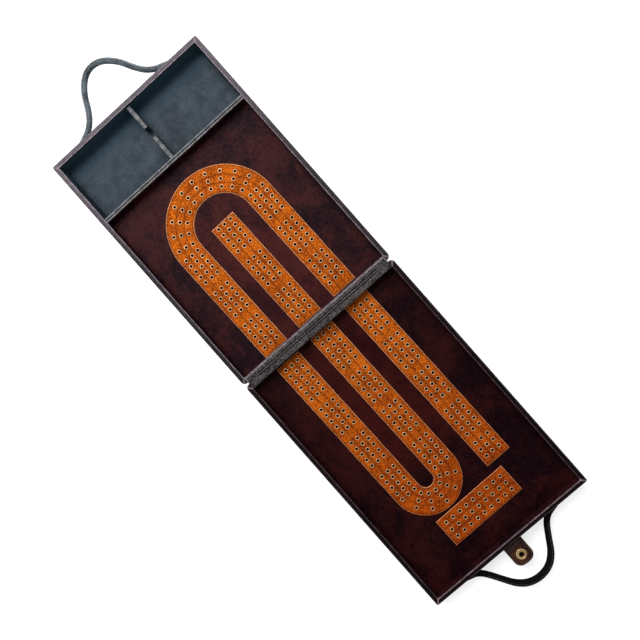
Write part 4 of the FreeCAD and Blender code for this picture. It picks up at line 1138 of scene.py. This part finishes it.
def directions(flat):
    """The heading at each place of a line, of length 1, and the same turned by a quarter."""
    heading = np.gradient(flat, axis=0)
    heading /= np.linalg.norm(heading, axis=1, keepdims=True)
    return heading, np.stack([-heading[:, 1], heading[:, 0]], -1)


def handle_route(half):
    """Places along a handle from root to root, evenly spaced, then smoothed by averaging."""
    half = np.array(half)
    flat, even = evenly(np.concatenate([half, half[::-1][1:] * np.array([1, -1])]), HANDLE_ROWS)
    for _ in range(SMOOTHINGS):
        flat[1:-1] = (flat[:-2] + 2 * flat[1:-1] + flat[2:]) / 4
    flat[:, 1] -= 1 - step(40, 60, np.abs(flat[:, 1]))
    return flat, even


# %% The section of a handle
FLAT_THICK, FLAT_TALL = 1.7, 6.0


def handle_section(flat, leg, grip):
    """Half the thickness in the handle's plane and half the height, by distance across."""
    y = np.abs(flat[:, 1])
    tube = leg + (grip - leg) * (1 - step(18, 34, y))
    flatness = np.interp(y, (50.0, 55.0, 60.0, 66.0), (0.0, 0.1, 0.6, 1.0))
    thick = tube * (1 - flatness) + FLAT_THICK * flatness
    tall = tube + (FLAT_TALL - tube) * step(49.0, 59.0, y)
    ends = np.sqrt(np.clip(1 - (np.clip(y - 63.4, 0, 2.6) / 2.65) ** 2, 0.05, 1))
    return thick * (0.5 + 0.5 * ends), tall * ends


# %% The handles
LIP_ANGLE = 0.32 * np.pi
GROOVE = 0.42
HANDLE_PITCH = 2.6
UNSEWN, SEWN_HALF = 26, 42


def rolled_handle(side, tray, leather_used, thread, half, leg, grip):
    """A closed tube along the handle's route, with a raised lip on its outer side and its stitches.

    The lip and the groove beside it are two bells round the section, the groove a little further.
    """
    flat, even = handle_route(half)
    heading, normal = directions(flat)
    thick, tall = handle_section(flat, leg, grip)
    angle = np.linspace(0, 2 * np.pi, HANDLE_AROUND, endpoint=False)
    free = 1 - step(48, 56, np.abs(flat[:, 1]))[:, None]
    gap = np.angle(np.exp(1j * (angle - LIP_ANGLE)))[None]
    lip = free * (0.38 * bell(gap, 0, 0.22) - 0.32 * bell(gap, GROOVE, 0.16))
    twist = np.sin(9 * angle[None] + 0.9 * even[:, None])
    wrinkle = free * 0.06 * twist * waver(even, 1, 9, 4)[:, None]
    reach = 1 + (lip + wrinkle) / np.maximum(thick, 2)[:, None]
    across = thick[:, None] * np.cos(angle) * reach
    rise = tall[:, None] * np.sin(angle) * reach
    rings = np.concatenate([flat[:, None] + normal[:, None] * across[..., None],
                            HANDLE_MIDDLE + rise[..., None]], -1)
    rings[..., 0] *= side
    edge = np.clip(free * 0.8 * bell(gap, 0, 0.2) + 0.25 * (1 - free), 0, 1)
    # Painted shade in the groove beside the lip.
    dark = np.clip(free * bell(gap, GROOVE, 0.2), 0, 1)
    handle = f"{tray}_handle"
    made = shell(f"{handle}_roll", rings, leather_used, None,
                 masks={"edge": edge, "dark": dark})
    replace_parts(made, f"{handle}_leather", f"{handle}_anchors", f"{handle}_core")
    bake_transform(made)

    sewn = np.searchsorted(even, np.arange(UNSEWN, even[-1] - UNSEWN, HANDLE_PITCH))
    sewn = sewn[np.abs(flat[sewn, 1]) < SEWN_HALF]
    across = thick[sewn] * math.cos(LIP_ANGLE + GROOVE) * 0.98
    rise = tall[sewn] * math.sin(LIP_ANGLE + GROOVE) * 0.98
    places = np.concatenate([flat[sewn] + normal[sewn] * across[:, None],
                             HANDLE_MIDDLE + rise[:, None]], -1)
    mirror = np.array([side, 1, 1])
    stitches(f"{handle}_stitches", places * mirror, raised(heading[sewn], 0) * mirror, thread,
             handle, long=1.7, thick=0.7)


# The card handle gets the lit copy and the pale thread, painted light; the board handle the
# near-black copy, painted shade.
rolled_handle(CARD, "card", lit_handle_leather, pale_thread, CARD_HANDLE, leg=3.3, grip=3.5)
rolled_handle(BOARD, "board", handle_leather, dark_thread, BOARD_HANDLE, leg=3.4, grip=3.9)

# %% [markdown]
# ## The snap tab
# The tab is two layers of leather sewn together, bent over from the end wall. A brass ring is set
# in its upper face and a cap closes it from below. Its path lies in the upright plane through the
# middle of the case, and its width falls away at the tip along a quarter circle.

# %% The strap of the tab
TAB_WALL, TAB_FOOT = 305.75, 8.2
TAB_BEND, BEND_X, BEND_Z = 2.6, 308.35, 20.4
TAB_TIP, TAB_HALF, TIP_ROUND, TIP_HALF = 331.6, 11.5, 8, 3.3
RING_REACH = 320.4
TAB_SEAM = 2.0
TAB_ROWS, TAB_COLUMNS = 110, 41


def strap_path():
    """Places in the upright plane: up the wall, round a tight bend, and straight out."""
    bend = np.radians(np.linspace(180, 90, 24))
    wall = np.stack([np.full(20, TAB_WALL), np.linspace(TAB_FOOT, BEND_Z, 20)], -1)
    turn = np.stack([BEND_X + TAB_BEND * np.cos(bend), BEND_Z + TAB_BEND * np.sin(bend)], -1)
    out = np.stack([np.linspace(BEND_X + 0.25, TAB_TIP, 50), np.full(50, BEND_Z + TAB_BEND)], -1)
    return evenly(np.concatenate([wall, turn, out]), TAB_ROWS)


def tab_strap():
    """A closed strap: rows along its path, rings of rounded oblong section, a seam near its edge.

    Half the width shrinks at the tip as a quarter circle does. The upper face sinks along the seam,
    swells inside it and drops steeply where the ring is set in.
    """
    path, even = strap_path()
    upward = directions(path)[1]
    to_tip = (even[-1] - even)[:, None]
    corner = np.clip(TIP_ROUND - to_tip, 0, TIP_ROUND)
    half = TAB_HALF - (TIP_ROUND - np.sqrt(TIP_ROUND ** 2 - corner ** 2))
    half = np.maximum(half, TIP_HALF)
    thick = 0.7 + 0.6 * step(308, 310.5, path[:, :1])
    share = np.linspace(-1, 1, TAB_COLUMNS)
    angle = np.linspace(np.pi / 2, -np.pi / 2, 5)[1:-1]
    face, round_edge = share * (half - thick), half - thick + thick * np.cos(angle)
    y = np.concatenate([face, round_edge, -face, -round_edge], 1)
    flat_side = np.ones(TAB_COLUMNS)
    rise = np.concatenate([flat_side, np.sin(angle), -flat_side, -np.sin(angle)])
    edge_gap = np.minimum(half - np.abs(y), to_tip)
    upper = rise > 0.9
    seam = bell(edge_gap, TAB_SEAM, 0.5) * upper * (even > 20)[:, None]
    swell = 0.25 * step(2.4, 5.5, edge_gap) * upper * step(20, 24, even)[:, None]
    to_ring = np.hypot(path[:, :1] - RING_REACH, y)
    socket = 1.5 * (1 - step(2.2, 2.9, to_ring)) * upper
    lift = thick * rise - 0.28 * seam + swell - socket
    x, z = path[:, :1] + upward[:, :1] * lift, path[:, 1:] + upward[:, 1:] * lift
    rings = np.stack([x, y, z], -1)
    edge = bell(edge_gap, 0, 0.9) * (even > 22)[:, None] * 0.9
    # Painted shade in the seam's groove, and a painted shadow on the tab's foot by the wall.
    dye_and_shade = np.clip(seam + 0.9 * (1 - step(308.5, 317.5, path[:, :1])), 0, 1)
    made = shell("tab_strap", rings, tab_leather, None,
                 masks={"edge": np.clip(edge * (1 - dye_and_shade), 0, 1), "dark": dye_and_shade})
    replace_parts(made, "snap_tab_leather", "snap_tab_lining", "snap_tab_anchor")
    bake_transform(made)


tab_strap()

# %% Stitches round the tab
TAB_STITCH_HEIGHT = 24.15


def tab_seam():
    """Places and headings of the stitches: out on one side, round the tip, and back."""
    reach, side, radius = TAB_TIP - TAB_SEAM, TAB_HALF - TAB_SEAM, TIP_ROUND - TAB_SEAM
    along = np.arange(311.0, reach - radius, 1.9)
    turn = np.radians(np.arange(90, -1, -18.0))
    corner = np.array([reach - radius, side - radius])
    corner = corner + radius * np.stack([np.cos(turn), np.sin(turn)], -1)
    half = np.concatenate([np.stack([along, np.full_like(along, side)], -1), corner])
    middle = np.stack([np.full(3, reach), np.array([1.9, 0, -1.9])], -1)
    whole = np.concatenate([half, middle, half[::-1] * np.array([1, -1])])
    return whole, directions(whole)[0]


places, headings = tab_seam()
stitches("tab_stitches", raised(places, TAB_STITCH_HEIGHT), raised(headings, 0), dark_thread,
         "snap_tab", long=1.3, thick=0.5)

# %% [markdown]
# ## Brass fittings
# Everything turned on a lathe or pressed in a round die is a profile turned about an axis. The
# ring of the snap has a rolled rim and a well darkened with painted shade, its cap is a shallow
# dome, and the stud on the other tray has a head wider than its neck. The rivets of the handles
# are low domes.

# %% Turned fittings


def fitting(name, profile, middle, axis, material, body, *nodes, side=1, around=48, dark=None,
            hollow=False):
    """A turned piece at its middle, mirrored by side, with its mask of painted shade.

    A hollow one's profile is closed. Any other is capped at both ends.
    """
    painted_shade_share = np.zeros(len(profile)) if dark is None else np.asarray(dark, float)
    rings = turned(profile, around, axis)
    rings[..., 0] *= side
    made = shell(name, rings + np.array(middle), material, body, closed=hollow,
                 masks={"dark": np.repeat(painted_shade_share, around)})
    if nodes:
        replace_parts(made, *nodes)


# %% A dark disc in the well of the ring, which paints its shade
painted_shade_well, tree, shader = new_material("painted_shade_well")
well_noise = noise(tree, object_place(tree), 900.0, Detail=3.0)
blackened = mix_colours(tree, well_noise, (0.001, 0.0008, 0.0008, 1), (0.010, 0.007, 0.006, 1))
join(tree, blackened, shader.inputs["Base Color"])
join(tree, span(tree, well_noise, 0.2, 0.8, 0.5, 0.8), shader.inputs["Roughness"])
shader.inputs["Specular IOR Level"].default_value = 0.05

# %% The snap
RING_MIDDLE = (RING_REACH, 0, 0)
stud_low, stud_high = box_mm("snap_stud")
STUD_MIDDLE = (0, 0, (stud_low.z + stud_high.z) / 2)
# The dark share of the ring's profile paints shade into its bore.
fitting("snap_ring",
        [(1.95, 23.4), (1.95, 24.55), (2.3, 24.85), (2.9, 24.85), (3.4, 24.6), (3.9, 24.55),
         (4.1, 24.8), (4.5, 25.0), (5.2, 25.0), (5.7, 24.75), (5.75, 24.2), (5.2, 23.9),
         (2.6, 23.4)],
        RING_MIDDLE, "z", snap_brass, "snap_tab", "snap_socket", hollow=True,
        dark=(1, 1, 1, 0.55, 0.1, 0.35, 0.5, 0, 0, 0.1, 0.6, 1, 1))
# The well is a thin dark disc under the ring: painted shade.
fitting("snap_well", [(0.2, 23.15), (2.5, 23.15), (2.5, 23.35), (1.2, 23.33), (0.2, 23.3)],
        RING_MIDDLE, "z", painted_shade_well, "snap_tab")
fitting("snap_cap_dome",
        [(0.3, 20.5), (2.5, 20.55), (4.6, 20.8), (5.7, 21.2), (6.0, 21.5), (5.9, 21.8),
         (0.3, 21.8)],
        RING_MIDDLE, "z", snap_brass, "snap_tab", "snap_cap")
fitting("snap_stud_turned",
        [(0.3, 304.0), (4.4, 304.0), (4.5, 305.2), (4.2, 305.5), (1.6, 305.65), (1.4, 306.3),
         (1.6, 306.6), (1.75, 306.9), (1.55, 307.25), (0.9, 307.45), (0.3, 307.5)],
        STUD_MIDDLE, "x", snap_brass, "card_tray", "snap_stud", side=CARD)

# %% Rivets of the handles
RIVET_INSIDE, RIVET_SHOULDER = 302.5, 306.4
for side, tray, seat in ((CARD, "card", 310.2), (BOARD, "board", 309.2)):
    profile = [(0.2, RIVET_INSIDE), (1.2, RIVET_INSIDE), (1.2, RIVET_SHOULDER), (2.5, seat - 0.6),
               (2.45, seat), (2.0, seat + 0.45), (1.2, seat + 0.75), (0.2, seat + 0.85)]
    for label, y in (("rear", 59.9), ("front", -59.9)):
        nodes = (f"{tray}_handle_rivets",) if label == "rear" else ()
        fitting(f"{tray}_{label}_rivet", profile, (0, y, HANDLE_MIDDLE), "x", snap_brass,
                f"{tray}_tray", *nodes, side=side, around=28)

# %% [markdown]
# ## The floor and the light
# The case lies on a pale, even table. One broad soft light stands high on the left, so that the
# left parts of the leather shine and each wall throws its shadow to the right. The room fills the
# shadows. The camera alone sees a white room and a table with a glow of its own. That glow is
# weaker under the case, where the shadow has to show, and full further off, so that table and
# room meet unseen.

# %% The table
FLOOR, FLOOR_DROP = 4.0, 0.0003
WHITE = (1, 1, 1, 1)
GLOW_NEAR, GLOW_FAR, GLOW_LEAST = 0.50, 1.20, 0.62


def seen_by_camera(tree, otherwise, seen):
    """The second shader where the camera sees it, and the first for all other light."""
    rays = add(tree, "ShaderNodeLightPath")
    chosen = add(tree, "ShaderNodeMixShader")
    for place, socket in enumerate((rays.outputs["Is Camera Ray"], otherwise, seen)):
        join(tree, socket, chosen.inputs[place])
    return chosen.outputs[0]


paper, tree, shader = new_material("paper")
shader.inputs["Base Color"].default_value = (0.93, 0.93, 0.93, 1)
shader.inputs["Roughness"].default_value = 0.9
distance = add(tree, "ShaderNodeVectorMath", operation="LENGTH")
join(tree, object_place(tree), distance.inputs[0])
strength = span(tree, distance.outputs["Value"], GLOW_NEAR, GLOW_FAR, GLOW_LEAST, 1.0)
glow = add(tree, "ShaderNodeEmission", Color=WHITE)
join(tree, strength, glow.inputs["Strength"])
unlit = add(tree, "ShaderNodeEmission", Color=BLACK, Strength=1.0)
both = add(tree, "ShaderNodeAddShader")
join(tree, shader.outputs[0], both.inputs[0])
join(tree, seen_by_camera(tree, unlit.outputs[0], glow.outputs[0]), both.inputs[1])
join(tree, both.outputs[0], tree.nodes["Material Output"].inputs["Surface"])

floor_mesh = bpy.data.meshes.new("floor")
floor_corners = [(FLOOR * x, FLOOR * y, 0) for x, y in ((-1, -1), (1, -1), (1, 1), (-1, 1))]
floor_mesh.from_pydata(floor_corners, [], [(0, 1, 2, 3)])
floor_mesh.materials.append(paper)
floor = bpy.data.objects.new("floor", floor_mesh)
floor.location.z = -FLOOR_DROP
scene.collection.objects.link(floor)

# %% The lamp
LAMP_PLACE, LAMP_AIM = (-0.90, 0.03, 1.08), (0.75, -0.03, -1.08)
lamp_data = bpy.data.lights.new("lamp", "AREA")
lamp_data.shape = "SQUARE"
lamp_data.size = 1.0
lamp_data.energy = 23
lamp_data.color = (0.94, 0.965, 1.0)
lamp = bpy.data.objects.new("lamp", lamp_data)
lamp.location = LAMP_PLACE
lamp.rotation_euler = Vector(LAMP_AIM).to_track_quat("-Z", "Y").to_euler()
scene.collection.objects.link(lamp)

# %% The room
world = bpy.data.worlds.new("room")
scene.world = world
world.use_nodes = True
tree = world.node_tree
room = tree.nodes["Background"]
room.inputs["Color"].default_value = WHITE
room.inputs["Strength"].default_value = 0.34
backdrop = add(tree, "ShaderNodeBackground", Color=WHITE, Strength=1.0)
shown = seen_by_camera(tree, room.outputs[0], backdrop.outputs[0])
join(tree, shown, tree.nodes["World Output"].inputs["Surface"])
scene.view_settings.view_transform = "Standard"
